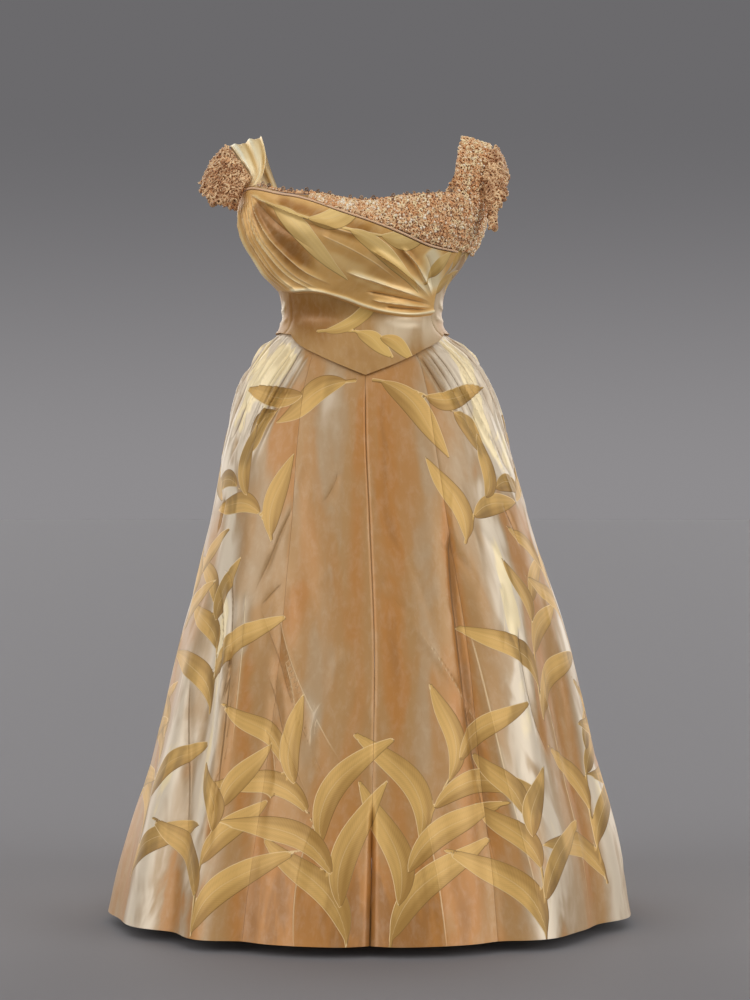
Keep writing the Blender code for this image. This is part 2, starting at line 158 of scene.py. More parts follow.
# share_of_length, x, y, z, swell
RUFFLE_RIGHT_EDGE = (
    (0.00, -0.215, -0.078, 0.180, 0.003),
    (0.12, -0.241, -0.068, 0.184, 0.006),
    (0.30, -0.256, -0.042, 0.207, 0.007),
    (0.50, -0.262, 0.000, 0.231, 0.005),
    (0.75, -0.248, 0.046, 0.210, 0.006),
    (1.00, -0.208, 0.076, 0.186, 0.003),
)
RUFFLE_LEFT_EDGE = (
    (0.00, 0.200, -0.094, 0.120, 0.005),
    (0.12, 0.211, -0.085, 0.146, 0.007),
    (0.30, 0.217, -0.062, 0.200, 0.006),
    (0.50, 0.226, 0.000, 0.243, 0.004),
    (0.75, 0.220, 0.052, 0.208, 0.006),
    (1.00, 0.196, 0.086, 0.160, 0.005),
)
RUFFLE_FLUTES, RUFFLE_FLUTE_DEPTH = 4, 0.004
RUFFLE_LIFT = 0.0045        # how far off the strap's edge it starts
RUFFLE_OUT = 0.0080
RUFFLE_SPAN = (0.11, 0.90)  # the share of the strap's length that it is gathered on
FRINGE_CURLS = 60           # how many curls lie along its free edge

# ---- Folds and creases of the cloth itself ----

# A crease is a soft ridge, or a trough where its depth is negative, on a curve through three
# points. Its lean makes one flank steeper.
# start_angle, start_z, middle_angle, middle_z, end_angle, end_z, half_width, depth, lean
SKIRT_CREASES = (
    (0, -0.740, 0, -0.900, 0, -1.120, 0.0050, -0.0080, 0.0),
    (0, -0.060, 0, -0.420, 0, -0.900, 0.0030, -0.0020, 0.0),
    (-28, -0.300, -34, -0.365, -39, -0.440, 0.0030, -0.0022, 0.4),
    (-11, -0.245, -13, -0.270, -17, -0.296, 0.0026, -0.0016, 0.4),
    (-30, -0.420, -33, -0.437, -36, -0.456, 0.0028, -0.0020, 0.2),
    (-62, -0.130, -67, -0.160, -71, -0.195, 0.0035, -0.0035, 0.3),
    (-61, -0.160, -64, -0.185, -67, -0.212, 0.0028, -0.0042, 0.3),
    (-66, -0.288, -67, -0.315, -68, -0.345, 0.0030, -0.0042, 0.3),
    (-44, -0.515, -43, -0.560, -43, -0.610, 0.0036, -0.0042, 0.3),
    (63, -0.185, 66, -0.215, 70, -0.248, 0.0028, -0.0042, 0.3),
    (57, -0.295, 60, -0.330, 61, -0.368, 0.0030, -0.0040, 0.3),
    (-57, -0.430, -50, -0.500, -46, -0.590, 0.0040, -0.0035, 0.3),
    (-56, -0.400, -43, -0.530, -38, -0.900, 0.0070, -0.0040, 0.2),
    (-42, -0.430, -39, -0.530, -37, -0.680, 0.0080, 0.0030, 0.3),
    (-36, -0.455, -24, -0.580, -9, -0.740, 0.0060, -0.0018, 0.4),
    (-30, -0.465, -19, -0.585, -7, -0.695, 0.0075, 0.0022, 0.4),
    (-31, -0.560, -23, -0.655, -15, -0.745, 0.0060, -0.0020, 0.4),
    (-26, -0.535, -22, -0.585, -20, -0.645, 0.0040, 0.0024, 0.2),
    (-30, -0.640, -26, -0.680, -24, -0.730, 0.0038, 0.0024, 0.2),
    (-14, -0.600, -16, -0.640, -15, -0.690, 0.0036, 0.0020, 0.2),
    (-61, -0.560, -54, -0.700, -47, -0.860, 0.0080, -0.0030, 0.3),
    (-40, -0.715, -39, -0.780, -38, -0.850, 0.0050, -0.0035, 0.2),
    (29, -0.330, 25, -0.530, 30, -0.900, 0.0065, -0.0042, 0.3),
    (6, -0.440, 18, -0.530, 31, -0.640, 0.0045, -0.0018, 0.4),
    (29, -0.490, 33, -0.670, 38, -0.960, 0.0090, 0.0028, 0.3),
    (8, -0.455, 19, -0.545, 30, -0.650, 0.0060, 0.0022, 0.4),
    (44, -0.420, 41, -0.470, 38, -0.530, 0.0045, 0.0022, 0.2),
    (46, -0.480, 44, -0.590, 50, -0.700, 0.0060, -0.0038, 0.3),
    (52, -0.580, 57, -0.750, 56, -0.960, 0.0090, 0.0028, 0.3),
    (76, -0.560, 82, -0.770, 73, -0.990, 0.0090, -0.0040, 0.2),
    (-12, -0.760, -16, -0.860, -15, -0.990, 0.0100, 0.0028, 0.2),
    (11, -0.740, 14, -0.850, 16, -0.990, 0.0100, 0.0028, 0.2),
    (-88, -0.400, -92, -0.600, -90, -0.920, 0.0100, -0.0045, 0.2),
    (92, -0.420, 95, -0.620, 90, -0.940, 0.0100, 0.0045, 0.2),
    (108, -0.230, 107, -0.420, 108, -0.700, 0.0090, -0.0045, 0.3),
    (-109, -0.210, -108, -0.450, -110, -0.760, 0.0090, 0.0045, 0.3),
    (124, -0.280, 126, -0.520, 125, -0.900, 0.0090, 0.0045, 0.2),
    (-126, -0.330, -128, -0.560, -126, -0.940, 0.0090, -0.0045, 0.2),
    (147, -0.180, 146, -0.420, 148, -0.760, 0.0090, 0.0055, 0.2),
    (-147, -0.190, -148, -0.480, -146, -0.860, 0.0090, 0.0055, 0.2),
    (163, -0.150, 162, -0.380, 163, -0.700, 0.0085, 0.0055, 0.2),
    (-163, -0.150, -162, -0.400, -164, -0.760, 0.0085, 0.0055, 0.2),
)

# Broad bands down the cloth: a paler band is painted sheen, and where the tone is negative the
# amber is partly the satin's own streaks and partly painted shade.
# start_angle, start_z, middle_angle, middle_z, end_angle, end_z, half_width, tone
BANDS = (
    (-2, -0.080, -5, -0.400, -7, -0.850, 0.016, -0.60),
    (8, -0.080, 7, -0.380, 4, -0.800, 0.022, -0.80),
    (-15, -0.070, -17, -0.230, -13, -0.440, 0.030, 0.36),
    (-22, -0.400, -24, -0.540, -22, -0.760, 0.022, -0.70),
    (-9, -0.500, -8, -0.620, -8, -0.760, 0.022, 0.16),
    (-37, -0.520, -35, -0.660, -30, -0.860, 0.014, -0.85),
    # Painted light and sheen on the hip, paler and gleaming.
    (-48, -0.020, -62, -0.140, -76, -0.330, 0.060, 1.60),
    (-58, -0.250, -55, -0.420, -47, -0.700, 0.024, 0.75),
    (-50, -0.420, -45, -0.700, -40, -1.200, 0.032, 0.85),
    (-66, -0.500, -60, -0.800, -57, -1.200, 0.034, 0.72),
    (-56, -0.620, -52, -0.820, -50, -1.150, 0.040, 0.60),
    (-76, -0.560, -71, -0.800, -67, -1.100, 0.012, -0.50),
    (31, -0.240, 26, -0.500, 32, -0.850, 0.014, -0.95),
    (18, -0.220, 15, -0.400, 11, -0.620, 0.022, 0.12),
    (20, -0.560, 24, -0.700, 26, -0.860, 0.020, -0.60),
    # Painted light and sheen on the hip, paler and gleaming.
    (46, -0.020, 61, -0.140, 76, -0.330, 0.061, 1.75),
    (48, -0.240, 45, -0.380, 42, -0.600, 0.020, 0.70),
    (55, -0.300, 42, -0.620, 48, -1.200, 0.036, 0.92),
    (50, -0.430, 59, -0.700, 61, -1.000, 0.018, -0.85),
    (74, -0.450, 72, -0.760, 66, -1.200, 0.038, 1.00),
    (82, -0.560, 79, -0.800, 76, -1.100, 0.012, -0.50),
    # Painted shade across the front of the hem, darker towards the floor.
    (-36, -0.905, 0, -0.920, 34, -0.905, 0.110, -1.30),
    (84, -0.250, 86, -0.400, 88, -0.700, 0.030, 0.75),
    (-84, -0.250, -86, -0.400, -88, -0.700, 0.030, 0.55),
    (98, -0.200, 100, -0.520, 99, -1.000, 0.022, -0.60),
    (-98, -0.200, -99, -0.520, -98, -1.000, 0.022, -0.60),
    (112, -0.060, 114, -0.400, 115, -1.200, 0.036, 0.75),
    (-114, -0.060, -115, -0.400, -116, -1.200, 0.036, 0.75),
    (128, -0.200, 129, -0.500, 128, -1.000, 0.020, -0.60),
    (-130, -0.200, -130, -0.500, -129, -1.000, 0.020, -0.60),
)

# Gathers fan out from under the basque: so many ridges between two angles, and the troughs
# between them, each leaning on by about the same turn, and uneven in place, length and depth.
# first_angle, last_angle, count, turn, shortest, longest, half_width, depth, seed
GATHERS = (
    (27, 90, 23, 26, 0.050, 0.240, 0.0031, 0.0034, 3),
    (-28, -91, 23, -25, 0.050, 0.240, 0.0031, 0.0034, 5),
    (92, 130, 12, 6, 0.080, 0.280, 0.0042, 0.0046, 7),
    (-92, -130, 12, -6, 0.080, 0.280, 0.0042, 0.0046, 8),
    (133, 178, 13, 0, 0.070, 0.220, 0.0042, 0.0052, 11),
    (-133, -178, 13, 0, 0.070, 0.220, 0.0042, 0.0052, 12),
)
GATHER_JITTER = 0.6         # how far a gather strays from its even place, in spacings
GATHER_TUCK = 0.006         # how far above the basque's edge they start
GATHER_DROP = 0.32          # how much lower some start, at most, as a share of the longest
GATHER_BEND = 0.45          # the share of its length that its middle point is at
# Each one's turn, width and depth, as shares of the table's, and how far it leans.
GATHER_TURNS, GATHER_WIDTHS, GATHER_DEPTHS = (0.9, 1.1), (0.7, 1.2), (0.55, 1.1)
GATHER_LEANS = -0.4, 0.4

# Small crushed places all over the skirt.
CRUSHED_COUNT = 150
CRUSHED_SEED = 21
CRUSHED_Z = -0.90, -0.22
CRUSHED_LENGTH = 0.04, 0.13
CRUSHED_HALF_WIDTH = 0.0045, 0.0085
CRUSHED_DEPTH = 0.0004, 0.0012
CRUSHED_SLANT_DEG = 7       # how far one turns round the body on its way down, as a spread
CRUSHED_BOW_DEG = 2         # how far its middle is out of line, as a spread
CRUSHED_LEAN = 0.2

# Soft waves in the skirt's cloth: radians a metre round the body, radians a metre up, start.
WAVES = ((61, 7, 1.3), (37, -11, 0.0), (103, 17, 0.4))
WAVE_SWELL = 9, 2.0         # the last one comes and goes: radians a metre up, start
WAVE_HEIGHT = 0.0006

# The drape's folds start at the right shoulder and at the left waist.
DRAPE_CREASES = (
    (-62, 0.210, -26, 0.157, 2, 0.130, 0.0042, 0.0068, 0.35),
    (-57, 0.200, -40, 0.146, -22, 0.104, 0.0060, -0.0020, 0.2),
    (-59, 0.207, -44, 0.110, -18, 0.058, 0.0026, 0.0052, 0.3),
    (-61, 0.206, -51, 0.101, -25, 0.051, 0.0022, 0.0028, 0.3),
    (-62, 0.204, -54, 0.098, -28, 0.048, 0.0028, 0.0056, 0.3),
    (-64, 0.203, -61, 0.094, -39, 0.044, 0.0024, 0.0026, 0.3),
    (-66, 0.201, -65, 0.098, -44, 0.046, 0.0034, 0.0058, 0.3),
    (-69, 0.199, -72, 0.106, -58, 0.050, 0.0026, 0.0026, 0.3),
    (-73, 0.194, -78, 0.114, -67, 0.056, 0.0042, 0.0050, 0.3),
    (-81, 0.180, -83, 0.116, -76, 0.060, 0.0048, 0.0040, 0.3),
    (-90, 0.164, -91, 0.110, -87, 0.060, 0.0050, 0.0036, 0.3),
    (-20, 0.134, 0, 0.104, 26, 0.062, 0.0130, 0.0024, 0.2),
    (4, 0.112, 26, 0.080, 56, 0.038, 0.0048, 0.0066, 0.3),
    (20, 0.116, 38, 0.080, 57, 0.043, 0.0036, 0.0050, 0.3),
    (-10, 0.080, 20, 0.056, 57, 0.033, 0.0038, 0.0042, 0.3),
    (2, 0.048, 28, 0.038, 58, 0.029, 0.0030, -0.0030, 0.2),
    (6, 0.036, 30, 0.029, 58, 0.025, 0.0028, 0.0042, 0.2),
    (16, 0.025, 34, 0.021, 58, 0.021, 0.0024, -0.0026, 0.2),
    (36, 0.108, 46, 0.082, 58, 0.048, 0.0040, -0.0013, 0.3),
)
# Broad areas of the drape: a paler one is painted sheen, and where the tone is negative the
# amber is painted shade.
DRAPE_BANDS = (
    (-58, 0.190, -44, 0.140, -26, 0.070, 0.021, -1.40),
    (-40, 0.170, -22, 0.115, 22, 0.052, 0.016, 0.42),
    (-44, 0.196, -16, 0.152, 14, 0.128, 0.016, -0.95),
    (-22, 0.124, -2, 0.100, 16, 0.078, 0.008, -0.30),
    (14, 0.130, 25, 0.106, 36, 0.086, 0.010, -0.65),
    (36, 0.118, 48, 0.084, 62, 0.040, 0.022, 1.30),
    (-6, 0.072, 20, 0.050, 50, 0.034, 0.012, 0.30),
    (-66, 0.200, -70, 0.120, -54, 0.046, 0.014, -0.70),
    (-88, 0.150, -90, 0.110, -90, 0.060, 0.018, 0.30),
)
# Broad areas of the bodice, in the same way: paler for painted sheen, amber for painted shade.
BODICE_BANDS = (
    (-70, 0.040, -44, 0.012, -8, -0.020, 0.034, -1.00),
    (6, -0.030, 34, -0.012, 74, 0.004, 0.038, 0.85),
    (-14, -0.050, 0, -0.060, 16, -0.066, 0.018, -0.30),
    (66, 0.120, 70, 0.060, 80, -0.010, 0.020, 0.80),
    (-72, 0.040, -80, 0.020, -96, 0.000, 0.018, 0.70),
    (112, 0.190, 110, 0.100, 112, 0.000, 0.022, 0.60),
    (-112, 0.190, -110, 0.100, -112, 0.000, 0.022, 0.60),
    (150, 0.190, 148, 0.100, 150, 0.000, 0.022, -0.50),
    (-150, 0.190, -148, 0.100, -150, 0.000, 0.022, -0.50),
)
BODICE_CREASES = (
    (14, -0.002, 32, -0.006, 52, -0.004, 0.0060, 0.0018, 0.2),
    (64, 0.010, 82, 0.004, 104, 0.008, 0.0050, 0.0022, 0.2),
    (-66, 0.006, -84, 0.000, -104, 0.006, 0.0050, 0.0022, 0.2),
    (-70, 0.030, -86, 0.022, -108, 0.026, 0.0060, 0.0018, 0.2),
    (70, 0.034, 88, 0.026, 108, 0.030, 0.0060, 0.0018, 0.2),
    (124, 0.004, 144, -0.002, 168, 0.004, 0.0050, 0.0022, 0.2),
    (-124, 0.004, -144, -0.002, -168, 0.004, 0.0050, 0.0022, 0.2),
    (72, 0.160, 66, 0.120, 64, 0.080, 0.0080, 0.0020, 0.2),
    (130, 0.180, 128, 0.130, 132, 0.080, 0.0080, 0.0020, 0.2),
    (-130, 0.180, -128, 0.130, -132, 0.080, 0.0080, 0.0020, 0.2),
)

# ---- The woven leaves ----

# A spray is a long arched stem with leaves on alternate sides. It grows from a place on the
# cloth: an angle, a distance round from it, and a height. Headings are clockwise from up. A
# leaf opens from the stem at an angle and then curls on outwards, or back if negative.
# angle, round, z, heading, length, bend, leaf_length, leaf_half_width, leaves, first_side,
# opening, curl
SPRAYS = (
    (0, 0.030, -0.957, 8, 0.300, 28, 0.250, 0.0220, 6, 1, 16, 62),
    (0, -0.034, -0.957, -10, 0.290, -24, 0.245, 0.0220, 6, -1, 16, 60),
    (35, 0.020, -0.957, 10, 0.190, -26, 0.200, 0.0215, 4, -1, 22, 48),
    (-36, -0.020, -0.957, -8, 0.200, 24, 0.200, 0.0215, 4, 1, 22, 48),
    (3, 0.000, -0.098, 98, 0.150, 26, 0.160, 0.0200, 2, 1, 14, 30),
    (-4, 0.000, -0.098, -96, 0.150, -28, 0.160, 0.0200, 2, -1, 14, 30),
    (33, 0.000, -0.360, 22, 0.130, 44, 0.160, 0.0195, 3, -1, 24, 56),
    (-35, 0.000, -0.355, -24, 0.130, -42, 0.160, 0.0195, 3, 1, 24, 56),
    (50, 0.000, -0.640, -6, 0.200, 34, 0.190, 0.0205, 4, 1, 24, 58),
    (-50, 0.000, -0.630, 4, 0.190, -32, 0.190, 0.0205, 4, -1, 24, 58),
    (66, 0.000, -0.900, -10, 0.220, 34, 0.190, 0.0205, 4, -1, 22, 55),
    (-67, 0.000, -0.890, 12, 0.230, -36, 0.190, 0.0205, 4, 1, 22, 55),
    (82, 0.000, -0.560, 4, 0.170, -30, 0.170, 0.0195, 3, 1, 24, 50),
    (-82, 0.000, -0.570, -4, 0.170, 28, 0.170, 0.0195, 3, -1, 24, 50),
    (94, 0.000, -0.957, 8, 0.300, -30, 0.220, 0.0215, 6, 1, 20, 58),
    (-95, 0.000, -0.957, -8, 0.300, 32, 0.220, 0.0215, 6, -1, 20, 58),
    (88, 0.000, -0.150, 176, 0.150, -28, 0.130, 0.0180, 3, -1, 26, 44),
    (-88, 0.000, -0.150, -176, 0.150, 28, 0.130, 0.0180, 3, 1, 26, 44),
    (106, 0.000, -0.700, -8, 0.200, 34, 0.180, 0.0205, 4, -1, 22, 52),
    (-106, 0.000, -0.700, 8, 0.200, -32, 0.180, 0.0205, 4, 1, 22, 52),
    (126, 0.000, -0.957, -6, 0.280, 28, 0.220, 0.0215, 5, 1, 20, 56),
    (-127, 0.000, -0.957, 8, 0.280, -30, 0.220, 0.0215, 5, -1, 20, 56),
    (132, 0.000, -0.550, -8, 0.230, -28, 0.180, 0.0205, 5, 1, 22, 52),
    (-131, 0.000, -0.540, 8, 0.230, 30, 0.180, 0.0205, 5, -1, 22, 52),
    (154, 0.000, -0.945, 8, 0.280, -32, 0.220, 0.0220, 5, 1, 20, 56),
    (-155, 0.000, -0.945, -8, 0.280, 30, 0.220, 0.0220, 5, -1, 20, 56),
    (158, 0.000, -0.540, -4, 0.210, 26, 0.170, 0.0200, 4, -1, 22, 52),
    (-159, 0.000, -0.550, 6, 0.210, -28, 0.170, 0.0200, 4, 1, 22, 52),
    (180, 0.015, -0.957, 4, 0.240, 20, 0.200, 0.0210, 4, 1, 20, 56),
    (138, 0.000, -0.170, 172, 0.180, 24, 0.140, 0.0180, 4, 1, 26, 40),
    (-138, 0.000, -0.170, -172, 0.180, -24, 0.140, 0.0180, 4, -1, 26, 40),
)
BODICE_SPRAYS = (
    (-30, 0.000, -0.020, 84, 0.110, 22, 0.135, 0.0135, 2, -1, 18, 30),
    (62, 0.000, 0.040, 4, 0.080, 30, 0.070, 0.0130, 2, 1, 24, 40),
    (100, 0.000, -0.010, 6, 0.120, -40, 0.090, 0.0140, 3, 1, 24, 44),
    (-100, 0.000, -0.010, -6, 0.120, 40, 0.090, 0.0140, 3, -1, 24, 44),
    (132, 0.000, 0.000, 4, 0.140, 36, 0.100, 0.0150, 3, 1, 24, 44),
    (-132, 0.000, 0.000, -4, 0.140, -36, 0.100, 0.0150, 3, -1, 24, 44),
    (160, 0.000, 0.020, -6, 0.120, -32, 0.090, 0.0145, 3, -1, 24, 44),
    (-160, 0.000, 0.020, 6, 0.120, 32, 0.090, 0.0145, 3, 1, 24, 44),
)
DRAPE_SPRAYS = (
    (-47, 0.000, 0.186, 116, 0.190, -18, 0.150, 0.0190, 3, 1, 16, 34),
    (44, 0.000, 0.062, 14, 0.012, 10, 0.082, 0.0170, 0, 1, 24, 40),
)
STEM_HALF_WIDTH = 0.0034
STEM_TAPER = 0.35           # the share of its width that a stem loses by its end
FIRST_LEAF = 0.2            # how far up the stem the leaves start, in the spacing of leaves
LEAF_SHORTENS, LEAF_NARROWS = 0.40, 0.22    # the shares of its size it would lose by the tip
LEAF_UNEVEN = 5, 0.10, 0.3  # degrees of opening, a share of its length, a share of its curl
TIP_PLACE, TIP_BEND = 0.97, 1.4     # where the last leaf starts, and its bend over the stem's
TIP_LENGTH, TIP_HALF_WIDTH = 0.62, 0.8      # its size as shares of the other leaves'
LEAST_BEND = 0.02           # in radians: a leaf is never quite straight
LEAF_LAYERS = ("leaf_1", "leaf_2", "leaf_3", "leaf_4")
LEAF_CLEARANCE = 0.004      # leaves of one layer are this far apart
LEAF_SWAY = 0.030           # how far a leaf snakes off its arc, as a share of its length
LEAF_BELLY = 0.22           # how much wider a side is towards the base or towards the tip
LEAF_WIDEST = 0.76          # a power: under 1, the leaf is widest nearer its base
LEAF_FULLNESS = 0.90        # a power: under 1, its ends are fuller

STEP = 1e-3                 # the step that a surface's slopes are taken over
CURVE_STEPS = 14            # straight runs that a crease's curve is measured on
CREASE_REACH = 4            # how many half-widths off its curve a crease ends
CREASE_POWER = 1.7          # how steeply a crease falls off to its sides
CREASE_WIDTHS = 0.7, 1.3    # its width at its start and its end, as shares of half_width
CREASE_FADES = 0.14, 0.68   # the share of its length where it is whole, and where it wanes
LINE_REACH = 0.0080         # a crease's sharp line is known this far off it
LINE_DEPTH = 0.0040         # a crease this deep has a line of full strength
LINE_CLEARANCE = 0.0012, 0.0036     # a line fades out as near as this to another line


# ---- Curves through tables ----

def smooth(rows, x):
    """The other columns of a table at each x, on smooth curves through its rows."""
    rows = np.asarray(rows)
    x = np.clip(x, rows[0, 0], rows[-1, 0])
    runs = np.diff(rows[:, 1:], axis=0) / np.diff(rows[:, 0])[:, None]
    slopes = np.vstack((runs[:1], (runs[:-1] + runs[1:]) / 2, runs[-1:]))
    i = np.clip(np.searchsorted(rows[:, 0], x, side="right") - 1, 0, len(rows) - 2)
    span = (rows[i + 1, 0] - rows[i, 0])[..., None]
    t = (x - rows[i, 0])[..., None] / span
    return (rows[i, 1:] * (2 * t ** 3 - 3 * t ** 2 + 1)
            + slopes[i] * span * (t ** 3 - 2 * t ** 2 + t)
            + rows[i + 1, 1:] * (3 * t ** 2 - 2 * t ** 3)
            + slopes[i + 1] * span * (t ** 3 - t ** 2))


def ramp(value, start, full):
    """0 before start, 1 past full, and a smooth rise between."""
    t = np.clip((value - start) / (full - start), 0.0, 1.0)
    return t * t * (3 - 2 * t)


# ---- The body surface ----

def fold_height(angle, z):
    """How far the skirt's folds push the surface out."""
    height = np.zeros(np.broadcast(angle, z).shape)
    for at_waist, at_hem, half_width, depth, z_start, z_full in FOLDS:
        middle = at_waist + (at_hem - at_waist) * z / HEM_Z
        away = (angle - middle + 180.0) % 360.0 - 180.0
        height += depth * ramp(-z, -z_start, -z_full) * np.exp(-(away / half_width) ** 2)
    return np.where(z < 0, height, 0.0)


def on_body(angle, z):
    """Points of the body surface."""
    half_width, front, back, centre = np.moveaxis(smooth(SECTIONS, z), -1, 0)
    fold = fold_height(angle, z)
    turn = np.radians(angle)
    depth = np.where(np.cos(turn) > 0, front, back)
    return np.stack((centre + (half_width + fold) * np.sin(turn),
                     -(depth + fold) * np.cos(turn), z), axis=-1)


def girth(angle, z, steps=24):
    """Metres round the body from the centre front, at one height, without the folds."""
    half_width, front, back, _ = np.moveaxis(smooth(SECTIONS, z), -1, 0)
    run = 0.0
    for share in (np.arange(steps) + 0.5) / steps:
        turn = np.radians(angle * share)
        depth = np.where(np.cos(turn) > 0, front, back)
        run = run + np.hypot(half_width * np.cos(turn), depth * np.sin(turn))
    return run / steps * np.radians(angle)


def level(z):
    """An edge at one height."""
    return lambda angle: np.full(np.shape(angle), z)


def above(edge, lift):
    """An edge that runs so far above another."""
    return lambda angle: edge(angle) + lift


def basque(angle):
    return np.interp(angle, *np.transpose(BASQUE))


def neckline(angle):
    return smooth(NECKLINE, angle)[..., 0]


def drape_lower(angle):
    return smooth(DRAPE_EDGES, angle)[..., 0]


def drape_upper(angle):
    return smooth(DRAPE_EDGES, angle)[..., 1]


def normals_of(surface, u, v):
    """Unit normals of surface(u, v), out of the cloth."""
    across = surface(u + STEP, v) - surface(u - STEP, v)
    up = surface(u, v + STEP) - surface(u, v - STEP)
    normal = np.cross(across, up)
    return normal / np.linalg.norm(normal, axis=-1, keepdims=True)


# ---- Panels ----

class Panel:
    """A piece of cloth as a grid of rows and columns laid on a surface."""

    def __init__(self, surface, columns, rows, packed=0.0):
        u = np.linspace(0, 1, columns + 1)
        u -= packed * np.sin(2 * np.pi * u) / (2 * np.pi)
        self.u, self.v = np.meshgrid(u, np.linspace(0, 1, rows + 1))
        self.points = surface(self.u, self.v)
        self.normals = normals_of(surface, self.u, self.v)
        self.fields = {}
        rows_long = np.linalg.norm(np.diff(self.points, axis=1), axis=-1).sum(axis=1)
        columns_long = np.linalg.norm(np.diff(self.points, axis=0), axis=-1).sum(axis=0)
        self.size = (float(rows_long.max()), float(columns_long.max()))
        self.cut = np.stack((self.u * rows_long[:, None], self.v * self.size[1]), axis=-1)

    def area(self):
        across = np.diff(self.points, axis=1)[:-1]
        up = np.diff(self.points, axis=0)[:, :-1]
        return float(np.linalg.norm(np.cross(across, up), axis=-1).sum())

    def seam_distance(self):
        """Metres from each point to the nearer of the two side seams."""
        return np.minimum(self.u, 1 - self.u) * self.cut[:, -1:, 0]


class BodyPanel(Panel):
    """A panel between two seam angles and two edges, which are functions of the angle."""

    def __init__(self, start, end, low, high, columns, rows, gather=0.0, packed=0.0):
        def place(u, v):
            angle = start + (end - start) * u
            share = v * (1 + gather - gather * v)
            z = low(angle) + (high(angle) - low(angle)) * share
            half_width, front, back, _ = np.moveaxis(smooth(SECTIONS, z), -1, 0)
            gap = np.degrees(SEAM_GAP / 2 / np.minimum(half_width, np.minimum(front, back)))
            return angle + gap * (1 - 2 * u), z

        super().__init__(lambda u, v: on_body(*place(u, v)), columns, rows, packed)
        self.angle, self.z = place(self.u, self.v)
        self.round = girth(self.angle, self.z)
        self.cut = np.stack((self.round, self.z), axis=-1)
        self.lines = np.tile((2 * LINE_REACH, 0.0, 2 * LINE_REACH), (*self.z.shape, 1))

    def spread(self, places, half_width, lean=0.0):
        """Where a crease or a band reaches, how it fades there, and how far off its line each
        point is, with a sign for the side. Places are its three angles and heights."""
        start, middle, end = np.reshape(places, (3, 2))
        bend = 2 * middle - (start + end) / 2
        t = np.linspace(0, 1, CURVE_STEPS + 1)[:, None]
        curve = start * (1 - t) ** 2 + 2 * bend * t * (1 - t) + end * t ** 2
        curve = np.stack((girth(curve[:, 0], curve[:, 1]), curve[:, 1]), axis=-1)
        reach = CREASE_REACH * half_width
        near = ((self.round > curve[:, 0].min() - reach)
                & (self.round < curve[:, 0].max() + reach)
                & (self.z > curve[:, 1].min() - reach)
                & (self.z < curve[:, 1].max() + reach))
        if not near.any():
            return near, 0.0, 0.0, 0.0
        here = np.stack((self.round[near], self.z[near]), axis=-1)
        return near, *off_curve(here, curve, half_width, lean)

    def creases(self, table, lined=False):
        """How far a table's creases push the cloth out. A lined one also keeps its line, a
        signed distance and a strength, for the material to paint as a highlight along a ridge
        and a shade in a trough."""
        height = np.zeros(self.z.shape)
        for *places, half_width, depth, lean in table:
            near, ends, off, width = self.spread(places, half_width, lean)
            if near.any():
                height[near] += depth * ends * np.exp(-abs(off / width) ** CREASE_POWER)
                if lined:
                    self.add_line(near, off, ends * np.clip(depth / LINE_DEPTH, -1.0, 1.0))
        nearest, strength, second = np.moveaxis(self.lines, -1, 0)
        alone = ramp(second - abs(nearest), *LINE_CLEARANCE)
        close = ramp(abs(nearest), LINE_REACH, LINE_REACH / 2)
        self.fields["line"] = np.stack((nearest, strength * alone * close,
                                        np.zeros_like(nearest)), axis=-1)
        return height

    def add_line(self, near, off, strength):
        """Keeps the nearest line's distance and strength, and the next one's distance."""
        old_off, old_strength, old_second = self.lines[near].T
        closer = abs(off) < abs(old_off)
        self.lines[near] = np.stack((np.where(closer, off, old_off),
                                     np.where(closer, strength, old_strength),
                                     np.where(closer, abs(old_off),
                                              np.minimum(abs(off), old_second))), axis=-1)

    def tones(self, table):
        """How much paler, or deeper, a table's bands make the cloth."""
        tone = np.zeros(self.z.shape)
        for *places, half_width, shade in table:
            near, ends, off, width = self.spread(places, half_width)
            if near.any():
                tone[near] += shade * ends * np.exp(-(off / width) ** 2)
        return tone

    def leaves(self, sprays):
        """Marks the woven leaves: for each point, metres inside the leaf, and its place
        across and along it. Leaves that cross lie in different layers."""
        layers = [np.tile((-1.0, 0.0, 0.0), (*self.z.shape, 1)) for _ in LEAF_LAYERS]
        taken = [np.zeros(self.z.shape, dtype=bool) for _ in LEAF_LAYERS]
        for angle, off, z, heading, *habit in sprays:
            aside = self.round - girth(np.full_like(self.z, angle), self.z) - off
            for leaf in spray_leaves(math.radians(heading), *habit):
                near, found = leaf_marks(aside, self.z - z, *leaf)
                if not near.any():
                    continue
                covers = found[:, 0] > -LEAF_CLEARANCE
                for layer, full in zip(layers, taken):
                    if not (full[near] & covers).any():
                        break
                old = layer[near]
                layer[near] = np.where(found[:, :1] > old[:, :1], found, old)
                if leaf[-1] > STEM_HALF_WIDTH:
                    full[near] |= covers
        self.fields.update(zip(LEAF_LAYERS, layers))


def off_curve(here, curve, half_width, lean):
    """For points of the flat cloth beside a curve: the fade towards its ends, the signed
    distance off it, and its width there."""
    nearest = np.full(len(here), np.inf)
    share = np.zeros(len(here))
    side = np.zeros(len(here))
    for i in range(CURVE_STEPS):
        run = curve[i + 1] - curve[i]
        from_start = here - curve[i]
        t = np.clip(from_start @ run / (run @ run), 0.0, 1.0)
        away = from_start - t[:, None] * run
        distance = np.hypot(away[:, 0], away[:, 1])
        closer = distance < nearest
        nearest = np.where(closer, distance, nearest)
        share = np.where(closer, (i + t) / CURVE_STEPS, share)
        side = np.where(closer, np.sign(run[0] * away[:, 1] - run[1] * away[:, 0]), side)
    at_start, at_end = CREASE_WIDTHS
    width = half_width * (at_start + (at_end - at_start) * share) * (1 + lean * side)
    whole, wanes = CREASE_FADES
    ends = ramp(share, 0.0, whole) * (1 - ramp(share, wanes, 1.0))
    return ends, nearest * side, width


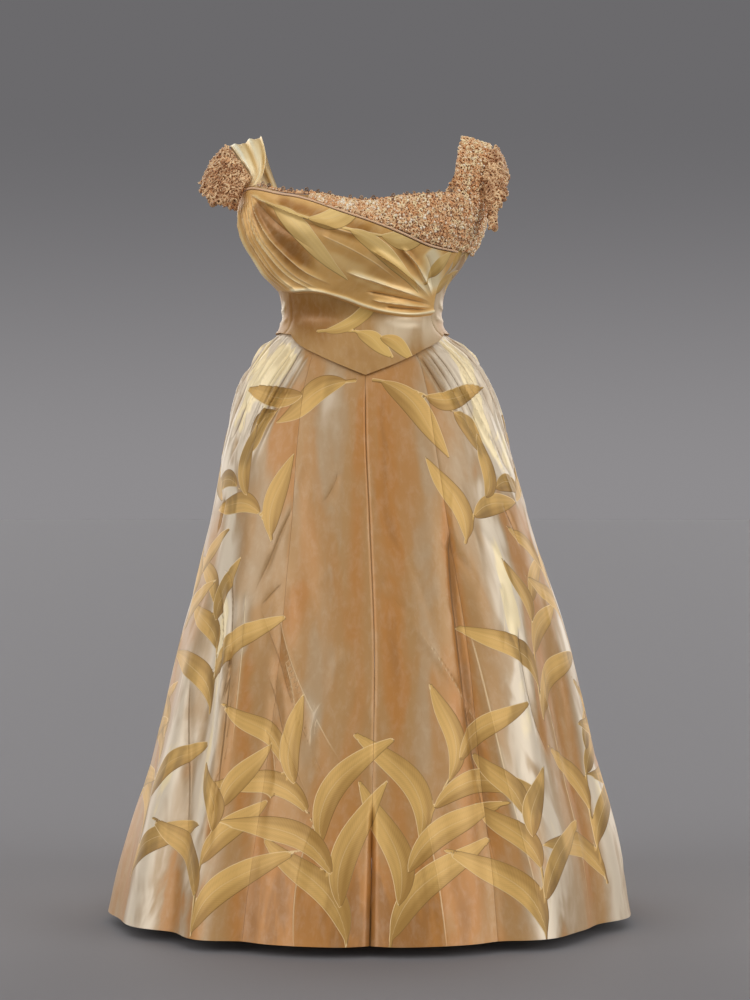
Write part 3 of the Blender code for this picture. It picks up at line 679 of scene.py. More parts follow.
def gather_creases():
    """The gathers as rows of two crease tables, ridges and the troughs between them. Every
    third one starts lower down."""
    ridges, troughs = [], []
    for first, last, count, turn, shortest, longest, half_width, depth, seed in GATHERS:
        random = np.random.default_rng(seed)
        for i in range(2 * count - 1):
            step = i + random.uniform(-GATHER_JITTER, GATHER_JITTER)
            angle = first + (last - first) * step / (2 * count - 2)
            length = random.uniform(shortest, longest)
            lean_on = turn * length / longest * random.uniform(*GATHER_TURNS)
            drop = longest * random.uniform(0.0, GATHER_DROP) if i % 3 == 1 else 0.0
            angle += turn * drop / longest
            top = float(basque(angle)) + GATHER_TUCK - drop
            rows, push = ((ridges, depth), (troughs, -depth))[i % 2]
            rows.append((angle, top, angle + lean_on * GATHER_BEND, top - length * GATHER_BEND,
                         angle + lean_on, top - length,
                         half_width * random.uniform(*GATHER_WIDTHS),
                         push * random.uniform(*GATHER_DEPTHS),
                         random.uniform(*GATHER_LEANS)))
    return ridges, troughs


def crushed_creases():
    """Small creases all over the skirt, most of them steep."""
    random = np.random.default_rng(CRUSHED_SEED)
    creases = []
    for _ in range(CRUSHED_COUNT):
        angle = random.uniform(-180, 180)
        z = random.uniform(*CRUSHED_Z)
        length = random.uniform(*CRUSHED_LENGTH)
        slant = random.normal(0, CRUSHED_SLANT_DEG)
        bow = random.normal(0, CRUSHED_BOW_DEG)
        depth = random.choice((-1, 1)) * random.uniform(*CRUSHED_DEPTH)
        creases.append((angle, z, angle + slant / 2 + bow, z - length / 2, angle + slant,
                        z - length, random.uniform(*CRUSHED_HALF_WIDTH), depth, CRUSHED_LEAN))
    return creases


def unevenness(panel):
    """Soft waves in the cloth, longer down than across, up to about 2 mm."""
    first, second, last = (np.sin(turns * panel.round + climbs * panel.z + start)
                           for turns, climbs, start in WAVES)
    climbs, start = WAVE_SWELL
    return WAVE_HEIGHT * (first + second + last * np.sin(climbs * panel.z + start))


def spray_leaves(heading, length, bend, leaf_length, leaf_half_width, leaves, first_side,
                 opening, curl):
    """A spray's stem and leaves. Each is a place, a heading, a length, a bend and a
    half-width, with the angles in radians."""
    bend = math.radians(bend)
    parts = [(0.0, 0.0, heading, length, bend, STEM_HALF_WIDTH)]
    opens, grows, curls = LEAF_UNEVEN
    for i in range(leaves):
        share = (i + FIRST_LEAF) / leaves
        side = first_side * (-1) ** i
        uneven = math.sin(5.1 * i + 40 * length + heading)      # from -1 to 1, by no rule
        x, y, turn = along_arc(heading, length, bend, share)
        parts.append((x, y, turn + side * math.radians(opening + opens * uneven),
                      leaf_length * (1 - LEAF_SHORTENS * share + grows * uneven),
                      side * math.radians(curl * (1 + curls * uneven)),
                      leaf_half_width * (1 - LEAF_NARROWS * share)))
    x, y, turn = along_arc(heading, length, bend, TIP_PLACE)
    parts.append((x, y, turn, leaf_length * TIP_LENGTH, bend * TIP_BEND,
                  leaf_half_width * TIP_HALF_WIDTH))
    return parts


def along_arc(heading, length, bend, share):
    """The place and heading at a share of an arc that starts at the origin."""
    turn = heading + bend * share
    curve = bend / length
    return ((math.cos(heading) - math.cos(turn)) / curve,
            (math.sin(turn) - math.sin(heading)) / curve, turn)


def leaf_marks(aside, above, x, y, heading, length, bend, half_width):
    """Which points are near one leaf, and their depth in it, place across and place along."""
    bend = bend if abs(bend) > LEAST_BEND else LEAST_BEND
    radius = length / bend
    right, up = aside - x, above - y
    near = np.hypot(right, up) < length + half_width
    from_middle = right[near] - radius * math.cos(heading), up[near] + radius * math.sin(heading)
    sign = math.copysign(1.0, radius)
    turn = np.arctan2(from_middle[1] * sign, -from_middle[0] * sign) - heading - bend / 2
    share = ((turn + np.pi) % (2 * np.pi) - np.pi + bend / 2) / bend
    inside = np.clip(share, 0.0, 1.0)
    off = sign * (abs(radius) - np.hypot(*from_middle))
    if half_width > STEM_HALF_WIDTH:
        off = off + sign * LEAF_SWAY * length * np.sin(2 * np.pi * inside)
        belly = 1 + LEAF_BELLY * np.sign(off) * np.cos(np.pi * inside)
        width = half_width * belly * np.sin(np.pi * inside ** LEAF_WIDEST) ** LEAF_FULLNESS
    else:
        width = half_width * (1 - STEM_TAPER * inside)
    beyond = np.maximum(np.abs(share - 0.5) - 0.5, 0.0) * length
    depth = np.where(beyond > 0, -np.hypot(beyond, off), width - np.abs(off))
    return near, np.stack((depth, off / np.maximum(width, 1e-4), share), axis=-1)


# ---- Meshes ----

SHARP_DEG = 38.0            # edges of a cloth that turn more than this are sharp
MAP_MARGIN = 0.012          # the bare strip round each half of a cloth's bake map


def to_data(mesh, name):
    """Ends a bmesh and keeps its shape."""
    data = bpy.data.meshes.new(name)
    mesh.to_mesh(data)
    mesh.free()
    return data


def new_object(name, data):
    made = bpy.data.objects.new(name, data)
    bpy.context.scene.collection.objects.link(made)
    return made


def cloth(name, panel, out, material, slot, node, wall=WALL):
    """A thin shell: the panel's points moved out as the outer face, and a wall inwards."""
    rows, columns = (size - 1 for size in panel.u.shape)
    mesh = bmesh.new()
    bmesh.ops.create_grid(mesh, x_segments=columns, y_segments=rows, size=0.5)
    grown = bmesh.ops.extrude_face_region(mesh, geom=mesh.faces[:])["geom"]
    bmesh.ops.translate(mesh, vec=(0, 0, -1), verts=[part for part in grown
                                                     if isinstance(part, bmesh.types.BMVert)])
    bmesh.ops.recalc_face_normals(mesh, faces=mesh.faces[:])
    data = to_data(mesh, name)

    place = np.empty(len(data.vertices) * 3, dtype=np.float32)
    data.vertices.foreach_get("co", place)
    place = place.reshape(-1, 3)
    column = np.rint((place[:, 0] + 0.5) * columns).astype(int)
    row = np.rint((place[:, 1] + 0.5) * rows).astype(int)
    within = place[:, 2] < -0.5
    height = np.broadcast_to(out, panel.u.shape)[..., None]
    outer = panel.points + panel.normals * height
    inner = outer - panel.normals * wall
    data.vertices.foreach_set("co", np.where(within[:, None], inner[row, column],
                                             outer[row, column]).ravel())

    corner = np.empty(len(data.loops), dtype=np.int32)
    data.loops.foreach_get("vertex_index", corner)
    set_map(data, "cut", panel.cut[row, column][corner])
    set_map(data, "OFBake", bake_map(panel, row, column, within, corner))
    for key, values in panel.fields.items():
        kind = "FLOAT_VECTOR" if values.ndim == 3 else "FLOAT"
        field = data.attributes.new(key, kind, "POINT")
        field.data.foreach_set("vector" if values.ndim == 3 else "value",
                               values[row, column].astype(np.float32).ravel())
    data.update()
    data.shade_smooth()
    data.set_sharp_from_angle(angle=math.radians(SHARP_DEG))
    return add_piece(name, data, material, slot, node)


def bake_map(panel, row, column, within, corner):
    """The outer face on the left half of the square, the inner face on the right, and the
    thin edge walls just round the outer face."""
    u = panel.u[0][column][corner]
    v = panel.v[:, 0][row][corner]
    inside = within[corner]
    faces = inside.reshape(-1, 4)
    on_wall = np.repeat(faces.any(axis=1) & ~faces.all(axis=1), 4)
    pushed = on_wall & inside
    u, v = (share + pushed * MAP_MARGIN * np.sign(np.where(abs(share - 0.5) > 0.4999,
                                                           share - 0.5, 0))
            for share in (u, v))
    left = MAP_MARGIN + (0.5 - 2 * MAP_MARGIN) * u
    return np.stack((np.where(inside & ~on_wall, left + 0.5, left),
                     MAP_MARGIN + (1 - 2 * MAP_MARGIN) * v), axis=-1)


def set_map(data, name, places):
    data.uv_layers.new(name=name).uv.foreach_set("vector", places.astype(np.float32).ravel())


def add_piece(name, data, material, slot, *nodes):
    """An object that rides with the gown, has one material, and stands for its solids."""
    data.materials.append(material)
    piece = new_object(name, data)
    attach(piece, "root")
    if nodes:
        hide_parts(*nodes)
    return piece


def declare(panel, fullness=1.0):
    """Works out a sheet's flat size and area, which go no further.
    Fullness is how much wider the cut is than it hangs.
    """
    width, length = panel.size
    flat = (round(width * fullness, 3), round(length, 3))
    area = min(round(panel.area() * fullness, 4), flat[0] * flat[1])


RING_THREAD = 0.34          # the thickness of a curl's thread, as a share of the curl's radius
BEAD_HEIGHT = 0.6           # of its radius
SPOT_JITTER = 0.45          # how far a spot strays from its even place, in spacings
CELL_REACH = 0.45           # how far each shape reaches from the middle of its map's cell


def template(build):
    """A small shape, made once by operators, as points and faces to be repeated."""
    mesh = bmesh.new()
    build(mesh)
    bmesh.ops.recalc_face_normals(mesh, faces=mesh.faces[:])
    points = np.array([vert.co[:] for vert in mesh.verts])
    faces = [[vert.index for vert in face.verts] for face in mesh.faces]
    mesh.free()
    return points, faces


def bead(mesh):
    """A flattened bead."""
    bmesh.ops.create_uvsphere(mesh, u_segments=6, v_segments=4, radius=1.0)
    bmesh.ops.scale(mesh, vec=(1.0, 1.0, BEAD_HEIGHT), verts=mesh.verts[:])
    mesh.verts.index_update()


def curl(mesh):
    """A ring of thick thread."""
    section = bmesh.ops.create_circle(mesh, segments=4, radius=RING_THREAD)
    bmesh.ops.rotate(mesh, cent=(0, 0, 0), matrix=Matrix.Rotation(math.pi / 2, 3, "X"),
                     verts=section["verts"])
    bmesh.ops.translate(mesh, vec=(1 - RING_THREAD, 0, 0), verts=section["verts"])
    bmesh.ops.spin(mesh, geom=mesh.edges[:], cent=(0, 0, 0), axis=(0, 0, 1),
                   angle=2 * math.pi, steps=9, use_merge=True)
    mesh.verts.index_update()


def scatter(name, spots, draw, seed):
    """Sews one kind of small thing on at many spots, each turned its own way, in one mesh. The
    spots are places and normals there."""
    build, material, smallest, largest, tilt = SEWN[name]
    points, faces = template(build)
    places, normals = spots
    count = len(places)
    size = draw.uniform(smallest, largest, count)
    random = np.random.default_rng(seed)
    lean = random.normal(0, math.tan(math.radians(tilt)), (count, 3))
    up = normals + lean
    up /= np.linalg.norm(up, axis=1, keepdims=True)
    side = np.cross(up, random.normal(0, 1, (count, 3)))
    side /= np.linalg.norm(side, axis=1, keepdims=True)
    frames = np.stack((side, np.cross(up, side), up), axis=1) * size[:, None, None]
    spread = np.einsum("pk,nkd->npd", points, frames) + places[:, None, :]
    data = bpy.data.meshes.new(name)
    data.from_pydata(spread.reshape(-1, 3).tolist(), [],
                     [[corner + i * len(points) for corner in face]
                      for i in range(count) for face in faces])
    corner = np.empty(len(data.loops), dtype=np.int32)
    data.loops.foreach_get("vertex_index", corner)
    cells = math.ceil(math.sqrt(count))
    owner = corner // len(points)
    flat = points[corner % len(points), :2] * CELL_REACH + 0.5
    set_map(data, "OFBake", (flat + np.stack((owner % cells, owner // cells), -1)) / cells)
    tone = data.attributes.new("tone", "FLOAT", "POINT")
    tone.data.foreach_set("value", np.repeat(random.uniform(0, 1, count),
                                             len(points)).astype(np.float32))
    data.shade_smooth()
    return add_piece(name, data, material, "beaded_lace")


def spread_over(panel, out, spacing, seed, margin=0.0):
    """Places about evenly spread over a panel's outer face, and the normals there."""
    random = np.random.default_rng(seed)
    width, length = panel.size
    across, up = max(2, round(width / spacing)), max(2, round(length / spacing))
    u, v = np.meshgrid((np.arange(across) + 0.5) / across, (np.arange(up) + 0.5) / up)
    u, v = (np.clip(even + random.uniform(-SPOT_JITTER, SPOT_JITTER, even.shape) / count,
                    margin, 1 - margin) for even, count in ((u, across), (v, up)))
    rows, columns = (size - 1 for size in panel.u.shape)
    i = np.clip((v * rows).astype(int), 0, rows - 1)
    j = np.clip(np.searchsorted(panel.u[0], u, side="right") - 1, 0, columns - 1)
    t = (v * rows - i)[..., None]
    s = ((u - panel.u[0][j]) / (panel.u[0][j + 1] - panel.u[0][j]))[..., None]
    height = np.broadcast_to(out, panel.u.shape)[..., None]
    outer = panel.points + panel.normals * height
    mixed = []
    for values in (outer, panel.normals):
        mixed.append(((values[i, j] * (1 - s) + values[i, j + 1] * s) * (1 - t)
                      + (values[i + 1, j] * (1 - s) + values[i + 1, j + 1] * s) * t)
                     .reshape(-1, 3))
    return mixed


# ---- Shader building ----

def node(tree, kind, settings=None, **sockets):
    """Adds a shader node. A socket is given by its name, with _ for a space."""
    made = tree.nodes.new(kind)
    for key, value in (settings or {}).items():
        setattr(made, key, value)
    for key, value in sockets.items():
        join(tree, value, made.inputs[key.replace("_", " ")])
    return made


def join(tree, value, socket):
    """Links another node's output to a socket, or gives it a value. A colour is opaque."""
    if isinstance(value, bpy.types.NodeSocket):
        tree.links.new(value, socket)
    else:
        socket.default_value = (*value, 1.0) if socket.type == "RGBA" else value


def mix(tree, factor, a, b):
    """A mix of two colours."""
    made = node(tree, "ShaderNodeMix", {"data_type": "RGBA"})
    for value, place in ((factor, 0), (a, 6), (b, 7)):
        join(tree, value, made.inputs[place])
    return made.outputs[2]


def calc(tree, operation, a, b=0.0):
    made = node(tree, "ShaderNodeMath", {"operation": operation})
    join(tree, a, made.inputs[0])
    join(tree, b, made.inputs[1])
    return made.outputs[0]


def times(tree, a, b):
    return calc(tree, "MULTIPLY", a, b)


def plus(tree, total, *others):
    for other in others:
        total = calc(tree, "ADD", total, other)
    return total


def attribute(tree, name, output="Fac"):
    return node(tree, "ShaderNodeAttribute", {"attribute_name": name}).outputs[output]


def rise(tree, value, low, high, to_low=0.0, to_high=1.0):
    """A value that goes from to_low to to_high as another goes from low to high."""
    made = node(tree, "ShaderNodeMapRange", {"interpolation_type": "SMOOTHSTEP"}, Value=value,
                From_Min=low, From_Max=high, To_Min=to_low, To_Max=to_high)
    return made.outputs["Result"]


def noise(tree, vector, scale, detail=2.0, roughness=0.5, stretch=None, distortion=0.0):
    if stretch:
        vector = node(tree, "ShaderNodeMapping", Vector=vector, Scale=stretch).outputs["Vector"]
    return node(tree, "ShaderNodeTexNoise", Vector=vector, Scale=scale, Detail=detail,
                Roughness=roughness, Distortion=distortion).outputs["Fac"]


def new_group(name, inputs, outputs):
    """An empty node group with named inputs and outputs."""
    tree = bpy.data.node_groups.new(name, "ShaderNodeTree")
    for way, sockets in (("INPUT", inputs), ("OUTPUT", outputs)):
        for label, kind in sockets.items():
            tree.interface.new_socket(name=label, in_out=way, socket_type=kind)
    given = tree.nodes.new("NodeGroupInput").outputs
    return tree, given, tree.nodes.new("NodeGroupOutput").inputs


def give(tree, result, **values):
    for label, value in values.items():
        tree.links.new(value, result[label])
    return tree


def use_group(tree, group, **sockets):
    made = node(tree, "ShaderNodeGroup", {"node_tree": group})
    for key, value in sockets.items():
        join(tree, value, made.inputs[key])
    return made.outputs


def new_material(name, roughness, **settings):
    """A material with a Principled BSDF whose own sockets hold its even values."""
    made = bpy.data.materials.new(name)
    made.use_nodes = True
    tree = made.node_tree
    sockets = tree.nodes["Principled BSDF"].inputs
    for key, value in {"Roughness": roughness, **settings}.items():
        join(tree, value, sockets[key.replace("_", " ")])
    return made, tree, sockets


def bump(tree, height, distance, strength=1.0, normal=None):
    made = node(tree, "ShaderNodeBump", Height=height, Distance=distance, Strength=strength)
    if normal is not None:
        tree.links.new(normal, made.inputs["Normal"])
    return made.outputs["Normal"]


COLOUR, VALUE = "NodeSocketColor", "NodeSocketFloat"

# A leaf's marks are metres in from its outline, a share of its half-width across, and a share
# of its length from its base. Each part of it comes or goes between two of them.
LEAF_EDGE = 0.0, 0.0006
LEAF_SWELL = 0.0, 0.0012
LEAF_RIM = 0.0007, 0.0017
VEIN_ACROSS, VEIN_ALONG = (0.015, 0.055), (0.25, 0.90)
SHADE_ACROSS, SHADE_ALONG = (-0.20, 0.75), (0.0, 0.9)
SHADE_BASE = 0.0, 0.30
RIM_SIDES = -0.2, 0.2
# How much each part counts.
SIDE_SHADE, SIDE_AT_TIP = 0.80, 0.45    # one side is in shade, and less so at the tip
BASE_SHADE, STREAK_SHADE, RIB_SHADE, CLOUD_SHADE = 0.28, 0.08, 0.05, 0.30
VEIN_AT_BASE, VEIN_SHARE, RIM_SHARE = 0.55, 0.6, 0.75
RIBS = 290.0, -30.0             # radians along, and across
STREAKS = 5.0, 13.0
LINE_HALF_WIDTH = 0.0018        # of a crease's sharp line

# The satin's clouds of colour, in noises a metre of cloth.
# output, scale, detail, roughness, stretch_along, distortion, low, high
CLOUDS = (
    ("Cloud", 13.0, 2.0, 0.50, 0.22, 0.6, 0.44, 0.70),
    ("Bloom", 10.0, 3.0, 0.55, 0.40, 0.5, 0.45, 0.66),
    ("Patchy", 19.0, 3.0, 0.56, 0.30, 0.5, 0.30, 0.68),
    ("Fleck", 70.0, 4.0, 0.68, 0.50, 0.3, 0.42, 0.72),
)
LACE_CELLS, LACE_THREAD = 190.0, (0.06, 0.22)


def leaf_group():
    """Woven leaves over a ground colour, from the leaf marks on the cloth."""
    tree, given, result = new_group(
        "woven_leaf", {"Ground": COLOUR, "Leaf": COLOUR, "Shade": COLOUR, "Outline": COLOUR,
                       "Shadow": COLOUR, "Clouds": VALUE},
        {"Color": COLOUR, "Mask": VALUE, "Height": VALUE})
    colour, covered, height = given["Ground"], 0.0, 0.0
    for layer in LEAF_LAYERS:
        marks = attribute(tree, layer, "Vector")
        edge, across, along = node(tree, "ShaderNodeSeparateXYZ", Vector=marks).outputs
        middle = calc(tree, "ABSOLUTE", across)
        ribs = calc(tree, "SINE", plus(tree, times(tree, along, RIBS[0]),
                                       times(tree, middle, RIBS[1])))
        streaks = calc(tree, "SINE", plus(tree, times(tree, across, STREAKS[1]),
                                          times(tree, along, STREAKS[0])))
        shaded = plus(tree, times(tree, rise(tree, across, *SHADE_ACROSS, 0.0, SIDE_SHADE),
                                  rise(tree, along, *SHADE_ALONG, 1.0, SIDE_AT_TIP)),
                      rise(tree, along, *SHADE_BASE, BASE_SHADE, 0.0),
                      times(tree, streaks, STREAK_SHADE), times(tree, ribs, RIB_SHADE),
                      times(tree, given["Clouds"], CLOUD_SHADE))
        body = mix(tree, shaded, given["Leaf"], given["Shade"])
        vein = times(tree, rise(tree, middle, *VEIN_ACROSS, 1.0, 0.0),
                     rise(tree, along, *VEIN_ALONG, VEIN_AT_BASE, 0.0))
        body = mix(tree, times(tree, vein, VEIN_SHARE), body, given["Outline"])
        rim = rise(tree, edge, *LEAF_RIM, 1.0, 0.0)
        rim_colour = mix(tree, rise(tree, across, *RIM_SIDES), given["Outline"],
                         given["Shadow"])
        body = mix(tree, times(tree, rim, RIM_SHARE), body, rim_colour)
        inside = rise(tree, edge, *LEAF_EDGE)
        colour = mix(tree, inside, colour, body)
        covered = calc(tree, "MAXIMUM", covered, inside)
        height = calc(tree, "MAXIMUM", height, rise(tree, edge, *LEAF_SWELL))
    return give(tree, result, Color=colour, Mask=covered, Height=height)


def line_group():
    """The sharp line of each crease: a painted highlight along a ridge, and a painted shade
    in a trough.
    """
    tree, _, result = new_group("crease_line", {}, {"Height": VALUE, "Pale": VALUE,
                                                    "Deep": VALUE})
    marks = attribute(tree, "line", "Vector")
    off, strength, _ = node(tree, "ShaderNodeSeparateXYZ", Vector=marks).outputs
    near = rise(tree, calc(tree, "ABSOLUTE", off), 0.0, LINE_HALF_WIDTH, 1.0, 0.0)
    height = times(tree, near, strength)
    return give(tree, result, Height=height, Pale=calc(tree, "MAXIMUM", height, 0.0),
                Deep=calc(tree, "MAXIMUM", times(tree, height, -1.0), 0.0))


def weave_group():
    """The satin's own surface: fine threads, slubs, and clouds of colour down the cloth."""
    tree, given, result = new_group("satin_weave", {"Scale": VALUE},
                                    {"Height": VALUE, **{row[0]: VALUE for row in CLOUDS}})
    cut = node(tree, "ShaderNodeUVMap", {"uv_map": "cut"}).outputs["UV"]
    scaled = node(tree, "ShaderNodeVectorMath", {"operation": "SCALE"}, Vector=cut,
                  Scale=given["Scale"]).outputs["Vector"]
    threads = noise(tree, scaled, 900.0, 1.0, 0.5, (1.0, 0.12, 1.0))
    slubs = noise(tree, scaled, 260.0, 2.0, 0.6, (0.16, 1.0, 1.0))
    give(tree, result, Height=plus(tree, times(tree, threads, 0.6), times(tree, slubs, 0.4)))
    for label, scale, detail, roughness, stretch, distortion, low, high in CLOUDS:
        cloud = noise(tree, scaled, scale, detail, roughness, (1.0, stretch, 1.0), distortion)
        give(tree, result, **{label: rise(tree, cloud, low, high)})
    return tree


def lace_group():
    """Crochet-like lace: thread over gaps painted dark as shade."""
    tree, given, result = new_group(
        "lace_ground", {"Thread": COLOUR, "Light": COLOUR, "Gap": COLOUR},
        {"Color": COLOUR, "Height": VALUE})
    place = node(tree, "ShaderNodeTexCoord").outputs["Object"]
    cells = node(tree, "ShaderNodeTexVoronoi", {"feature": "DISTANCE_TO_EDGE"}, Vector=place,
                 Scale=LACE_CELLS).outputs["Distance"]
    thread = rise(tree, cells, *LACE_THREAD, 1.0, 0.0)
    shade = rise(tree, noise(tree, place, 150.0, 2.0, 0.6), 0.35, 0.7)
    colour = mix(tree, shade, given["Thread"], given["Light"])
    return give(tree, result, Color=mix(tree, thread, given["Gap"], colour), Height=thread)


leaf_pattern = leaf_group()
crease_line = line_group()
satin_weave = weave_group()
lace_ground = lace_group()

# A cloth's tone is negative in its troughs and positive on its ridges: the colours below paint
# shade into its troughs and highlight and sheen onto its ridges, over its random clouds. Each
# colour comes in between two tones.
TONE_LIMITS = -1.5, 1.8
AMBER_BELOW = -0.9, 0.0
TAUPE_ABOVE = 0.02, 0.50
PALE_ABOVE = 0.35, 1.05
GLEAM_ABOVE = 1.25, 1.65
FOLD_SHADE_BELOW = -1.50, -0.80
# What the clouds do where the cloth is fully mottled, to its tone and to its amber.
PATCH_LESS, PATCH_MORE, BLOOM_LIFTS, CLOUD_SINKS = 0.50, 0.25, 0.34, -0.42
CLOUD_AMBER = 0.75
# How much of each colour there is at the most.
PALE_MOST, GLEAM_MOST, FOLD_SHADE_MOST, FLECK_MOST = 0.92, 0.90, 0.60, 0.11
LINE_SHADE_MOST, LINE_HIGHLIGHT_MOST = 0.72, 0.64
LEAF_ROUGHER = 0.08
# Metres high, strength.
LEAF_BUMP, LINE_BUMP, WEAVE_BUMP = (0.0004, 0.8), (0.0010, 0.8), (0.00012, 0.5)


def satin(name, ground, amber, taupe, bloom, leaf, leaf_on_sheen, mottle=1.0, scale=1.0,
          roughness=0.42):
    """Satin with clouds of amber and woven leaves. Highlight and sheen are painted paler on the
    ridges of its folds, and shade deeper in their troughs. A leaf has a colour and a shade, and
    others where the painted sheen makes the satin pale."""
    made, tree, shader = new_material(
        name, roughness, Metallic=0.18, Specular_IOR_Level=0.55, Sheen_Weight=0.12,
        Sheen_Roughness=0.40, Sheen_Tint=(1.0, 0.92, 0.80))
    weave = use_group(tree, satin_weave, Scale=scale)
    line = use_group(tree, crease_line)
    patches = rise(tree, weave["Patchy"], 0.0, 1.0, 1 - PATCH_LESS * mottle,
                   1 + PATCH_MORE * mottle)
    tone = plus(tree, times(tree, attribute(tree, "rise"), patches),
                times(tree, weave["Bloom"], BLOOM_LIFTS * mottle),
                times(tree, weave["Cloud"], CLOUD_SINKS * mottle))
    # Below, the amber is partly cloud and partly painted shade, and the brown is painted shade
    # in the deepest troughs. Above, the taupe, the pale colour and the gleam are painted
    # highlight and sheen, with the clouds.
    deep = rise(tree, tone, *AMBER_BELOW, 1.0, 0.0)
    cool = rise(tree, tone, *TAUPE_ABOVE)
    pale = rise(tree, tone, *PALE_ABOVE, 0.0, PALE_MOST)
    gleam = rise(tree, tone, *GLEAM_ABOVE, 0.0, GLEAM_MOST)
    fold_shade = rise(tree, tone, *FOLD_SHADE_BELOW, FOLD_SHADE_MOST, 0.0)
    clouded = times(tree, weave["Cloud"], CLOUD_AMBER * mottle)
    colour = mix(tree, calc(tree, "MAXIMUM", deep, clouded), ground, amber)
    colour = mix(tree, pale, mix(tree, cool, colour, taupe), bloom)
    colour = mix(tree, gleam, colour, GLEAM)
    colour = mix(tree, fold_shade, colour, FOLD_SHADE)
    colour = mix(tree, times(tree, weave["Fleck"], FLECK_MOST), colour, bloom)
    # Each crease's line is painted in: a shade in a trough and a highlight along a ridge.
    colour = mix(tree, times(tree, line["Deep"], LINE_SHADE_MOST), colour,
                 mix(tree, gleam, CREASE_SHADOW, CREASE_SHADOW_ON_SHEEN))
    colour = mix(tree, times(tree, line["Pale"], LINE_HIGHLIGHT_MOST), colour, CREASE_HIGHLIGHT)
    # On the painted sheen a leaf turns darker against the pale satin, and in the painted shade
    # of the deepest troughs it takes its shade colour.
    leaf_colour = mix(tree, gleam, mix(tree, pale, leaf[0], leaf_on_sheen[0]), leaf[0])
    leaf_shade = mix(tree, gleam, mix(tree, pale, leaf[1], leaf_on_sheen[1]), leaf[1])
    woven = use_group(tree, leaf_pattern, Ground=colour,
                      Leaf=mix(tree, fold_shade, leaf_colour, leaf[1]), Shade=leaf_shade,
                      Outline=LEAF_LINE, Shadow=LEAF_EDGE_SHADOW, Clouds=weave["Cloud"])
    tree.links.new(woven["Color"], shader["Base Color"])
    tree.links.new(rise(tree, woven["Mask"], 0.0, 1.0, roughness, roughness + LEAF_ROUGHER),
                   shader["Roughness"])
    relief = bump(tree, woven["Height"], *LEAF_BUMP)
    relief = bump(tree, line["Height"], *LINE_BUMP, relief)
    tree.links.new(bump(tree, weave["Height"], *WEAVE_BUMP, relief), shader["Normal"])
    return made


def lace(name, thread, light, gap):
    made, tree, shader = new_material(name, 0.55, Sheen_Weight=0.2)
    ground = use_group(tree, lace_ground, Thread=thread, Light=light, Gap=gap)
    tree.links.new(ground["Color"], shader["Base Color"])
    tree.links.new(bump(tree, ground["Height"], 0.0008), shader["Normal"])
    return made


def beadwork(name, dark, light, roughness, metallic):
    """Small things whose colour varies from one to the next and from patch to patch."""
    made, tree, shader = new_material(name, roughness, Metallic=metallic)
    place = node(tree, "ShaderNodeTexCoord").outputs["Object"]
    grain = noise(tree, place, 900.0)
    patch = rise(tree, noise(tree, place, 70.0, 2.0), 0.32, 0.68)
    tone = plus(tree, times(tree, attribute(tree, "tone"), 0.55), times(tree, patch, 0.45))
    shade = rise(tree, plus(tree, tone, times(tree, grain, 0.3)), 0.15, 1.2)
    tree.links.new(mix(tree, shade, dark, light), shader["Base Color"])
    tree.links.new(rise(tree, tone, 0.0, 1.0, roughness * 0.7, roughness * 1.2),
                   shader["Roughness"])
    return made


def plain_silk(name, colour, light, roughness):
    """Silk with no leaves: threads and a little unevenness."""
    made, tree, shader = new_material(name, roughness, Sheen_Weight=0.3,
                                      Specular_IOR_Level=0.6)
    place = node(tree, "ShaderNodeTexCoord").outputs["Object"]
    tone = noise(tree, place, 60.0, 3.0)
    threads = noise(tree, place, 1400.0, 1.0)
    tree.links.new(mix(tree, tone, colour, light), shader["Base Color"])
    tree.links.new(bump(tree, threads, 0.00015, 0.6), shader["Normal"])
    return made


# A leaf's pale outline and vein, and the shadow painted along the other side of its rim.
LEAF_LINE, LEAF_EDGE_SHADOW = (0.90, 0.68, 0.36), (0.22, 0.115, 0.022)
# A crease's painted highlight along a ridge and its painted shade in a trough.
CREASE_HIGHLIGHT, CREASE_SHADOW = (1.0, 0.81, 0.49), (0.20, 0.105, 0.028)
# A painted sheen on the palest ridges, and a crease's painted shade where that sheen is.
GLEAM, CREASE_SHADOW_ON_SHEEN = (1.0, 0.82, 0.48), (0.42, 0.255, 0.070)
# Painted shade in the deepest troughs.
FOLD_SHADE = (0.31, 0.135, 0.030)
# A leaf's colour and its shade. A satin takes a second pair for its leaves on its painted
# sheen.
GOLD_LEAF = (0.74, 0.45, 0.130), (0.40, 0.210, 0.040)
OCHRE_LEAF = (0.42, 0.240, 0.050), (0.26, 0.140, 0.028)
BRIGHT_LEAF = (0.94, 0.66, 0.250), (0.68, 0.430, 0.130)
AMBER_LEAF = (0.74, 0.48, 0.140), (0.52, 0.310, 0.080)
skirt_satin = satin("skirt_satin", (0.475, 0.261, 0.092), (0.505, 0.216, 0.044),
                    (0.48, 0.322, 0.172), (0.81, 0.685, 0.515), GOLD_LEAF, OCHRE_LEAF)
bodice_satin = satin("bodice_satin", (0.46, 0.250, 0.075), (0.33, 0.140, 0.018),
                     (0.54, 0.365, 0.190), (0.75, 0.600, 0.400), AMBER_LEAF, GOLD_LEAF,
                     mottle=0.45, scale=1.3)
# The drape's satin is painted brighter than the skirt's, to make up for the shade it hangs in.
drape_satin = satin("drape_satin", (0.84, 0.490, 0.155), (0.42, 0.180, 0.026),
                    (0.96, 0.660, 0.270), (1.00, 0.850, 0.540), BRIGHT_LEAF, AMBER_LEAF,
                    mottle=0.40, scale=1.2, roughness=0.40)
# The strap's satin is painted paler still, as light on it from above.
lit_strap_satin = satin("lit_strap_satin", (0.98, 0.760, 0.410), (0.78, 0.520, 0.190),
                    (0.98, 0.800, 0.470), (1.00, 0.930, 0.680), BRIGHT_LEAF, AMBER_LEAF,
                    mottle=0.40, scale=1.8, roughness=0.40)
